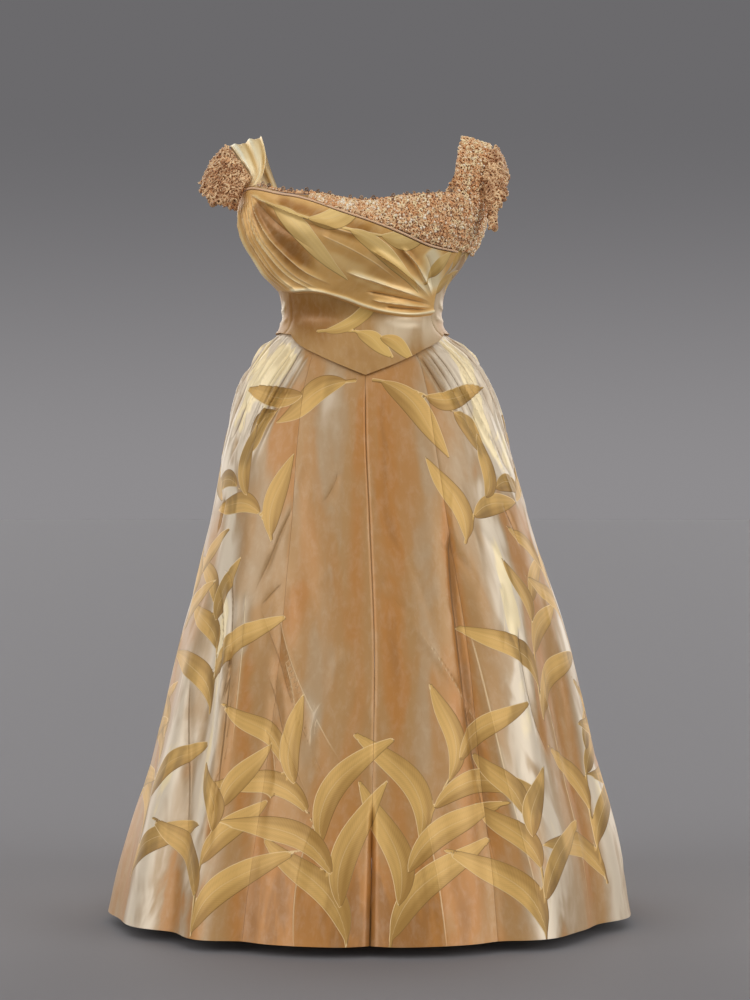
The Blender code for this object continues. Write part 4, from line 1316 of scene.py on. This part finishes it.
# The lace's third colour is the painted shade in its gaps.
copper_lace = lace("copper_lace", (0.78, 0.40, 0.165), (0.94, 0.60, 0.31),
                   (0.26, 0.105, 0.042))
# The palest beads are partly pale beads and partly painted glints.
lace_beads = beadwork("lace_beads", (0.76, 0.44, 0.200), (1.00, 0.90, 0.72), 0.26, 0.10)
lace_curls = beadwork("lace_curls", (0.76, 0.355, 0.135), (1.00, 0.83, 0.51), 0.50, 0.05)
ruffle_curls = beadwork("ruffle_curls", (0.44, 0.190, 0.072), (0.98, 0.70, 0.40), 0.50, 0.05)
lace_knots = beadwork("lace_knots", (0.17, 0.095, 0.055), (0.44, 0.29, 0.18), 0.50, 0.05)
piping_silk = plain_silk("piping_silk", (0.80, 0.49, 0.28), (0.88, 0.60, 0.37), 0.42)
waistband_silk = plain_silk("waistband_silk", (0.60, 0.52, 0.40), (0.68, 0.60, 0.48), 0.60)

# The small things sewn on the lace.
# piece: shape, material, smallest_radius, largest_radius, tilt_deg
SEWN = {
    "inset_rings": (curl, lace_curls, 0.0036, 0.0054, 22),
    "inset_beads": (bead, lace_beads, 0.0018, 0.0034, 26),
    "edging_rings": (curl, lace_curls, 0.0018, 0.0026, 25),
    "edging_beads": (bead, lace_beads, 0.0010, 0.0017, 20),
    "edging_knots": (curl, lace_knots, 0.0030, 0.0040, 25),
    "strap_rings": (curl, lace_curls, 0.0036, 0.0054, 34),
    "strap_beads": (bead, lace_beads, 0.0016, 0.0030, 26),
    "ruffle_right_curls": (curl, ruffle_curls, 0.0032, 0.0056, 50),
    "ruffle_left_curls": (curl, ruffle_curls, 0.0032, 0.0056, 50),
}


# ---- The gown's pieces ----

FRONT_SEAM_DEG, SIDE_SEAM_DEG, BACK_SEAM_DEG = 28.0, 82.0, 130.0
GORE_SEAMS_DEG = (0.0, FRONT_SEAM_DEG, SIDE_SEAM_DEG, BACK_SEAM_DEG, 180.0)
GORES = (("front", 58), ("side_front", 92), ("side_back", 72), ("back", 84))   # name, columns
GORE_ROWS = 150
SEAM_DIP = 0.0006           # the cloth draws in along a seam
SEAM_REACH = 0.0030
UNDER_BASQUE = -0.004, 0.022    # creases come in between these distances under its edge
# The height of a fold, a crease, a ridge and a trough that is one step of tone: its relief
# is painted in as highlight and shade.
FOLD_STEP, CREASE_STEP, RIDGE_STEP, TROUGH_STEP = 0.040, 0.011, 0.0052, 0.0200
BODICE_STEP, DRAPE_STEP, PLEAT_STEP = 0.005, 0.0065, 0.0026
PACKED = 0.4                # how much closer a panel's columns are at its seams
GATHERED_ROWS = 0.6         # how much closer its rows are at the top


def seam_dip(panel):
    return -SEAM_DIP * np.exp(-(panel.seam_distance() / SEAM_REACH) ** 2)


def tone_of(panel, shade, bands=()):
    """The cloth's tone: a painted highlight where it stands out and a painted shade where it
    sinks in, with its bands.
    """
    panel.fields["rise"] = np.clip(shade + panel.tones(bands), *TONE_LIMITS)


def skirt():
    """Eight gores, with the seams between them drawn in a little."""
    ridges, troughs = gather_creases()
    crushed = crushed_creases()
    for (gore, columns), start, end in zip(GORES, GORE_SEAMS_DEG, GORE_SEAMS_DEG[1:]):
        for side, turn in (("left", 1), ("right", -1)):
            angles = sorted((start * turn, end * turn))
            panel = BodyPanel(*angles, level(HEM_Z), level(SKIRT_TOP_Z), columns, GORE_ROWS,
                              gather=GATHERED_ROWS, packed=PACKED)
            clear = ramp(basque(panel.angle) - panel.z, *UNDER_BASQUE)
            # The lined creases, and every other trough of the gathers, get a painted highlight
            # or shade along their lines.
            creased = panel.creases(SKIRT_CREASES, lined=True) + panel.creases(crushed)
            raised = panel.creases(ridges)
            sunk = panel.creases(troughs[::2], lined=True) + panel.creases(troughs[1::2])
            height = (creased + raised + sunk + unevenness(panel)) * clear + seam_dip(panel)
            panel.leaves(SPRAYS)
            middle = sum(angles) / 2
            grain = panel.round - girth(np.full_like(panel.z, middle), panel.z)
            panel.cut = np.stack((grain + math.radians(middle), panel.z), axis=-1)
            # The folds' relief and the bands are painted into the colour as highlight and shade.
            tone_of(panel, fold_height(panel.angle, panel.z) / FOLD_STEP
                    + creased / CREASE_STEP + raised / RIDGE_STEP + sunk / TROUGH_STEP, BANDS)
            piece = cloth(f"{gore}_gore_{side}", panel, height, skirt_satin, "satin",
                          f"skirt_{gore}_{side}")
            declare(panel)


TAPE_END_DEG = 179.8        # its ends all but meet at the back
TAPE_RIB, TAPE_RIB_LENGTH = 0.0002, 0.0035


def waistband():
    low = SKIRT_TOP_Z + SEAM_GAP
    panel = BodyPanel(-TAPE_END_DEG, TAPE_END_DEG, level(low), level(low + WAISTBAND_HEIGHT),
                      160, 6)
    ribs = TAPE_RIB * np.sin(panel.round * 2 * np.pi / TAPE_RIB_LENGTH)
    piece = cloth("waistband_tape", panel, ribs, waistband_silk, "waistband", "skirt_waistband",
                  wall=WAISTBAND_WALL)
    declare(panel)


# start, end, name, side, columns, rows
BODICE_PANELS = (
    (-60, 60, "front", "", 110, 70),
    (60, 120, "side", "_left", 48, 64),
    (-120, -60, "side", "_right", 48, 64),
    (120, 180, "back", "_left", 48, 64),
    (-180, -120, "back", "_right", 48, 64),
)
PLACKET_EDGE, PLACKET_DROP = 0.0025, 0.0014     # it rounds off this far in, by this much


def bodice():
    """A front, two sides, two backs and the strip over the closure."""
    for start, end, name, side, columns, rows in BODICE_PANELS:
        panel = BodyPanel(start, end, basque, neckline, columns, rows, packed=PACKED)
        folds = panel.creases(BODICE_CREASES)
        height = BODICE_OUT + folds + seam_dip(panel)
        # The folds' relief and the bands are painted into the colour as highlight and shade.
        tone_of(panel, folds / BODICE_STEP, BODICE_BANDS)
        panel.leaves(BODICE_SPRAYS)
        piece = cloth(f"{name}_bodice{side}", panel, height, bodice_satin, "satin",
                      f"bodice_{name}{side}")
        declare(panel)
    middle = 180.0
    low = float(basque(middle)) + LAYER_STEP
    high = float(neckline(middle)) - LAYER_STEP
    panel = BodyPanel(middle - PLACKET_HALF_DEG, middle + PLACKET_HALF_DEG, level(low),
                      level(high), 12, 70)
    tone_of(panel, panel.creases(()))
    panel.leaves(())
    edge = ramp(panel.seam_distance(), 0.0, PLACKET_EDGE)
    piece = cloth("closure_strip", panel, OVERLAY_OUT - PLACKET_DROP * (1 - edge), bodice_satin,
                  "satin", "bodice_back_placket")
    declare(panel)


DRAPE_SLANT_DEG = 55.0      # its cloth runs from the shoulder down to the other side
DRAPE_TONE = -0.10          # where it lies flat
DRAPE_FRONT_DEG = -64.0, -46.0  # its turned edge is whole in front of these angles
# The lower edge turns in, and the cloth rolls out in a ridge just above the turn, with a
# painted highlight along it.
# depth or tone, place up from the edge, width
EDGE_TURN = 0.0042, 0.0, 0.0030
EDGE_RIDGE = -0.0030, 0.0070, 0.0032
EDGE_HIGHLIGHT = 1.3, 0.0070, 0.0030
SIDE_TURN, SIDE_TURN_REACH = 0.0026, (0.016, 0.002)     # at the side it only turns in
# Its folds come in between these distances from its sides and from its upper edge.
FROM_SIDE, FROM_TOP = (-0.006, 0.014), (-0.004, 0.010)


def bell(distance, height, place, width):
    return height * np.exp(-((distance - place) / width) ** 2)


def drape():
    """The satin drawn across the front, with its lower edge turned under."""
    start, end = DRAPE_EDGES[0][0], DRAPE_EDGES[-1][0]
    panel = BodyPanel(start, end, drape_lower, drape_upper, 256, 104)
    slant = math.radians(DRAPE_SLANT_DEG)
    panel.cut = panel.cut @ np.array(((math.cos(slant), math.sin(slant)),
                                      (-math.sin(slant), math.cos(slant))))
    # Its lined folds get a painted highlight along a ridge and a painted shade in a trough.
    folds = panel.creases(DRAPE_CREASES, lined=True)
    tone_of(panel, folds / DRAPE_STEP + DRAPE_TONE, DRAPE_BANDS)
    from_low = panel.z - drape_lower(panel.angle)
    from_high = drape_upper(panel.angle) - panel.z
    from_side = np.minimum(panel.u, 1 - panel.u) * panel.size[0]
    in_front = ramp(panel.angle, *DRAPE_FRONT_DEG)
    turned = (bell(from_low, *EDGE_TURN) + in_front * bell(from_low, *EDGE_RIDGE)
              + SIDE_TURN * (1 - in_front) * ramp(from_low, *SIDE_TURN_REACH))
    # Paints a highlight along the rolled ridge.
    panel.fields["rise"] += in_front * bell(from_low, *EDGE_HIGHLIGHT)
    soft = ramp(from_side, *FROM_SIDE) * ramp(from_high, *FROM_TOP)
    panel.leaves(DRAPE_SPRAYS)
    piece = cloth("crossed_drape", panel, OVERLAY_OUT + folds * soft - turned, drape_satin,
                  "drape_satin", "bodice_drape")
    declare(panel, fullness=1.15)


PIPING_RUNS = 110


def piping():
    """A fine covered cord along the drape's upper edge."""
    panel = BodyPanel(*PIPING_DEG, above(drape_upper, PIPING_RISE),
                      above(drape_upper, 2 * PIPING_RISE), PIPING_RUNS, 1)
    curve = bpy.data.curves.new("piping_cord", "CURVE")
    curve.dimensions = "3D"
    curve.bevel_depth = PIPING_DIAMETER / 2
    curve.bevel_resolution = 3
    curve.use_fill_caps = True
    spline = curve.splines.new("POLY")
    spline.points.add(PIPING_RUNS)
    line = panel.points[0] + panel.normals[0] * PIPING_OUT
    spline.points.foreach_set("co", np.hstack((line, np.ones((len(line), 1)))).ravel())
    add_piece("piping_cord", curve, piping_silk, "piping", "drape_piping")


# The lace. A solid has room for the rings and beads too, so its lace is thinner and lower.
INSET_OUT = OVERLAY_OUT - 0.0004
INSET_MARGIN = 0.01
INSET_BEADS_UP = 0.0010     # how far its beads stand over its rings
# How far apart things are: rings and beads, and on a ruffle the curls.
INSET_SPACING, STRAP_SPACING, RUFFLE_SPACING = (0.0076, 0.0092), (0.0072, 0.0100), 0.0066
STRAP_RINGS_OUT, STRAP_BEADS_OUT = 0.0006, 0.0018
EDGING_LACE_OUT, EDGING_LACE_WALL = EDGING_OUT - 0.0006, EDGING_WALL * 0.55
RUFFLE_LACE_OUT, RUFFLE_LACE_WALL = RUFFLE_OUT - 0.0022, RUFFLE_WALL * 0.6
EDGING_COLUMNS = 210
SCALLOPS = 46
SCALLOP_DIP, SCALLOP_PEAK = 0.625, 0.175    # a dip's share of its height, and a peak's more
# The columns of the edging that a ring, a bead or a knot is on.
RING_COLUMNS, BEAD_COLUMNS = slice(2, None, 5), slice(1, None, 4)
KNOT_COLUMNS = np.arange(9, 208, 13)
RING_SINK, RING_JITTER = 0.0012, 0.0005     # how far the rings lie in, and stray in metres
KNOT_RISE, KNOT_JITTER = 0.0016, 3          # how far the knots stand up, and stray in columns


def lace_inset(trim):
    """Lace with rings and beads sewn all over it. Its trim, the edging's pieces, is not used."""
    panel = BodyPanel(*LACE_DEG, above(drape_upper, 2 * PIPING_RISE), above(neckline, -SEAM_GAP),
                      110, 22)
    random = np.random.default_rng(32)
    apart, beads_apart = INSET_SPACING
    spots = spread_over(panel, INSET_OUT, apart, 31, INSET_MARGIN)
    rings = scatter("inset_rings", spots, random, 33)
    spots = spread_over(panel, INSET_OUT + INSET_BEADS_UP, beads_apart, 34, INSET_MARGIN)
    beads = scatter("inset_beads", spots, random, 35)
    piece = cloth("inset_lace", panel, INSET_OUT, copper_lace, "beaded_lace", "lace_inset")
    declare(panel)


def edging():
    """Small loops with a bead on each, standing on the neckline."""
    panel = BodyPanel(*EDGING_DEG, above(neckline, EDGING_LIFT), above(neckline, EDGING_HEIGHT),
                      EDGING_COLUMNS, 3)
    wave = SCALLOP_DIP + SCALLOP_PEAK * np.abs(np.sin(np.pi * SCALLOPS * panel.u))
    base = panel.points[:1]
    panel.points = base + (panel.points - base) * wave[..., None]
    piece = cloth("edging_lace", panel, EDGING_LACE_OUT, copper_lace, "beaded_lace",
                  "neckline_edging", wall=EDGING_LACE_WALL)

    def along(row, columns, out):
        normals = panel.normals[row][columns]
        return panel.points[row][columns] + normals * out, normals

    places, normals = along(-1, RING_COLUMNS, EDGING_OUT - RING_SINK)
    random = np.random.default_rng(41)
    places = places + random.normal(0, RING_JITTER, places.shape)
    rings = scatter("edging_rings", (places, normals), random, 42)
    beads = scatter("edging_beads", along(1, BEAD_COLUMNS, EDGING_OUT), random, 43)
    random = np.random.default_rng(44)
    uneven = random.integers(-KNOT_JITTER, KNOT_JITTER + 1, len(KNOT_COLUMNS))
    places, normals = along(-1, KNOT_COLUMNS + uneven, EDGING_OUT)
    knots = scatter("edging_knots", (places + (0, 0, KNOT_RISE), normals), random, 45)
    return piece, rings, beads, knots


PATCH_HALF_DEG, PATCH_TOP = 1.0, 0.01       # a bit of the body surface round a strap's foot


def strap_foot(angle):
    """Where an edge of a strap stands on the bodice."""
    patch = BodyPanel(angle - PATCH_HALF_DEG, angle + PATCH_HALF_DEG,
                      above(neckline, FOOT_LIFT), above(neckline, PATCH_TOP), 2, 1)
    return patch.points[0, 1] + patch.normals[0, 1] * BODICE_OUT


def strap_edges(feet_deg, inner, outer):
    """A strap's two edges as tables: a foot at each end, and the points between."""
    return [((0.0, *strap_foot(front)), *points, (1.0, *strap_foot(back)))
            for front, points, back in zip(feet_deg[:2], (inner, outer), feet_deg[2:])]


def strap_panel(inner, outer, side, columns, rows):
    def surface(u, v):
        share = (u if side > 0 else 1 - u)[..., None]
        start, end = smooth(inner, v), smooth(outer, v)
        return start + (end - start) * share
    return Panel(surface, columns, rows)


RUFFLE_NARROWING = 0.25     # how much less it reaches at its two ends
# Its small waves. A wave grows to the free edge, and a ripple comes and goes on the way.
WAVE_DEPTH, WAVES_ALONG, WAVE_SLANT = 0.0012, 17, 5
RIPPLE_DEPTH, RIPPLES_ALONG, RIPPLE_START, RIPPLES_ACROSS = 0.0008, 31, 2.0, 9
CURLS_UP = 0.0006           # how far its curls stand over the lace
STRAY_CURLS = -0.005, 0.0030    # how far past the free edge the last ones are
STRAY_TURN = 1.5            # how much more they turn every way


def ruffle_panel(strap_outer, free_edge, side, columns, rows):
    def surface(u, v):
        reach = (u if side > 0 else 1 - u)[..., None]
        first, last = RUFFLE_SPAN
        gathered = smooth(strap_outer, first + (last - first) * v)
        free = smooth(free_edge, v)
        free, swell = free[..., :3], free[..., 3:]
        reach = reach * (1 - RUFFLE_NARROWING * (1 - np.sin(np.pi * v)[..., None]) ** 3)
        across = free - gathered
        outward = side * np.stack((-across[..., 2], np.zeros(v.shape), across[..., 0]), axis=-1)
        outward /= np.linalg.norm(outward, axis=-1, keepdims=True)
        fluting = (RUFFLE_FLUTE_DEPTH * np.sin(2 * np.pi * RUFFLE_FLUTES * v))[..., None] * reach
        start = gathered + RUFFLE_LIFT * across / np.linalg.norm(across, axis=-1, keepdims=True)
        return (start + (free - start) * reach
                + outward * (4 * reach * (1 - reach) * swell + fluting))
    return Panel(surface, columns, rows)


# The satin strap's pleats: depth, how many across, how many along, and a power that packs them.
PLEATS = ((0.0022, 1.9, 0.45, 1.4), (0.0008, 4.3, -0.8, 1.0))


def sleeves():
    """On each shoulder a strap and a ruffle. The right strap is folded satin, the left lace."""
    right = strap_edges(STRAP_RIGHT_FEET_DEG, STRAP_RIGHT_INNER, STRAP_RIGHT_OUTER)
    left = strap_edges(STRAP_LEFT_FEET_DEG, STRAP_LEFT_INNER, STRAP_LEFT_OUTER)
    panel = strap_panel(*right, -1, 30, 90)
    pleats = sum(depth * np.sin(2 * np.pi * (across * panel.u ** power + along * panel.v))
                 for depth, across, along, power in PLEATS) * np.sin(np.pi * panel.v) ** 0.5
    unmarked = np.tile((-1.0, 0.0, 0.0), (*panel.u.shape, 1))
    for key in (*LEAF_LAYERS, "line"):
        panel.fields[key] = unmarked
    # Its pleats' relief is painted into the colour as highlight and shade.
    panel.fields["rise"] = pleats / PLEAT_STEP
    piece = cloth("satin_strap", panel, pleats, lit_strap_satin, "drape_satin", "strap_right")
    declare(panel, fullness=1.2)

    panel = strap_panel(*left, 1, 24, 80)
    piece = cloth("lace_strap", panel, 0.0, copper_lace, "beaded_lace", "strap_left")
    random = np.random.default_rng(51)
    apart, beads_apart = STRAP_SPACING
    rings = scatter("strap_rings", spread_over(panel, STRAP_RINGS_OUT, apart, 52), random, 53)
    beads = scatter("strap_beads", spread_over(panel, STRAP_BEADS_OUT, beads_apart, 54), random,
                    55)
    declare(panel)

    ruffle("right", -1, right[1], RUFFLE_RIGHT_EDGE, 61)
    ruffle("left", 1, left[1], RUFFLE_LEFT_EDGE, 71)


def ruffle(name, side, strap_outer, free_edge, seed):
    """Gathered lace, thick with curls of thread, and with stray curls along its free edge."""
    panel = ruffle_panel(strap_outer, free_edge, side, 40, 150)
    reach = panel.u if side > 0 else 1 - panel.u
    wave = np.sin(2 * np.pi * WAVES_ALONG * panel.v + WAVE_SLANT * reach) * reach
    ripple = (np.sin(2 * np.pi * RIPPLES_ALONG * panel.v + RIPPLE_START)
              * np.sin(RIPPLES_ACROSS * reach))
    out = RUFFLE_LACE_OUT + WAVE_DEPTH * wave + RIPPLE_DEPTH * ripple
    piece = cloth(f"ruffle_{name}", panel, out, copper_lace, "beaded_lace",
                  f"sleeve_ruffle_{name}", wall=RUFFLE_LACE_WALL)
    random = np.random.default_rng(seed)
    places, normals = spread_over(panel, out + CURLS_UP, RUFFLE_SPACING, seed + 1)
    along = np.linspace(0, panel.u.shape[0] - 1, FRINGE_CURLS).astype(int)
    free = panel.u.shape[1] - 1 if side > 0 else 0
    fringe = panel.points[along, free] + panel.normals[along, free] * np.mean(out)
    outward = fringe - panel.points[along, abs(free - 1)]
    outward /= np.linalg.norm(outward, axis=1, keepdims=True)
    stray = random.uniform(*STRAY_CURLS, (len(along), 1))
    places = np.vstack((places, fringe + outward * stray))
    turned = panel.normals[along, free] + STRAY_TURN * random.normal(0, 1, outward.shape)
    normals = np.vstack((normals, turned))
    normals /= np.linalg.norm(normals, axis=1, keepdims=True)
    curls = scatter(f"ruffle_{name}_curls", (places, normals), random, seed + 2)
    declare(panel, fullness=1.4)


# ---- The room ----

CAMERA_X, CAMERA_DISTANCE, CAMERA_Z = 0.0165, 4.0, -0.289
FOCAL_PX, FRAME_PX, SENSOR_MM = 2424.0, 1000.0, 36.0    # the frame is 750 by 1000 pixels
FLOOR_Z = HEM_Z - 0.018
FLOOR_MIDDLE_Y, FLOOR_HALF = 2.0, 80.0
FLOOR_GREY = (0.2435, 0.233, 0.239)
LOW_GREY, HIGH_GREY = (0.2735, 0.2645, 0.273), (0.147, 0.1435, 0.150)
HIGH_SINE = 0.16            # the backdrop is at its darkest from this sine of a height on
# name, azimuth from the front, height above the horizon, strength, how wide: in degrees
LIGHTS = (
    ("left_light", -58, 14, 1.33, 45),
    ("right_light", 60, 14, 1.48, 45),
    ("upper_light", -10, 55, 0.70, 60),
    ("back_left_light", -145, 20, 1.05, 50),
    ("back_right_light", 145, 20, 1.05, 50),
)


def studio():
    """A pale floor, soft light from all round, and a level camera in front."""
    mesh = bmesh.new()
    bmesh.ops.create_grid(mesh, x_segments=1, y_segments=1, size=FLOOR_HALF)
    bmesh.ops.translate(mesh, vec=(0, FLOOR_MIDDLE_Y, FLOOR_Z), verts=mesh.verts[:])
    data = to_data(mesh, "studio_floor")
    data.materials.append(new_material("floor_paint", 0.85, Base_Color=FLOOR_GREY)[0])
    new_object("studio_floor", data)

    for name, azimuth, elevation, strength, wide in LIGHTS:
        light = bpy.data.lights.new(name, "SUN")
        light.energy = strength
        light.angle = math.radians(wide)
        turn, lift = math.radians(azimuth), math.radians(elevation)
        shine = Vector((-math.sin(turn) * math.cos(lift), math.cos(turn) * math.cos(lift),
                        -math.sin(lift)))
        new_object(name, light).rotation_euler = shine.to_track_quat("-Z", "Y").to_euler()

    world = bpy.data.worlds.new("studio_world")
    world.use_nodes = True
    tree = world.node_tree
    way = node(tree, "ShaderNodeTexCoord").outputs["Generated"]
    lift = node(tree, "ShaderNodeSeparateXYZ", Vector=way).outputs["Z"]
    backdrop = mix(tree, rise(tree, lift, 0.0, HIGH_SINE), LOW_GREY, HIGH_GREY)
    tree.links.new(backdrop, tree.nodes["Background"].inputs["Color"])
    bpy.context.scene.world = world

    lens = bpy.data.cameras.new("front_camera")
    lens.sensor_width = SENSOR_MM
    lens.lens = FOCAL_PX / FRAME_PX * SENSOR_MM
    camera = new_object("front_camera", lens)
    camera.location = (CAMERA_X, -CAMERA_DISTANCE, CAMERA_Z)
    camera.rotation_euler = (math.pi / 2, 0, 0)
    bpy.context.scene.camera = camera
    bpy.context.scene.view_settings.view_transform = "Standard"


skirt()
waistband()
bodice()
drape()
piping()
lace_inset(edging())
sleeves()
studio()
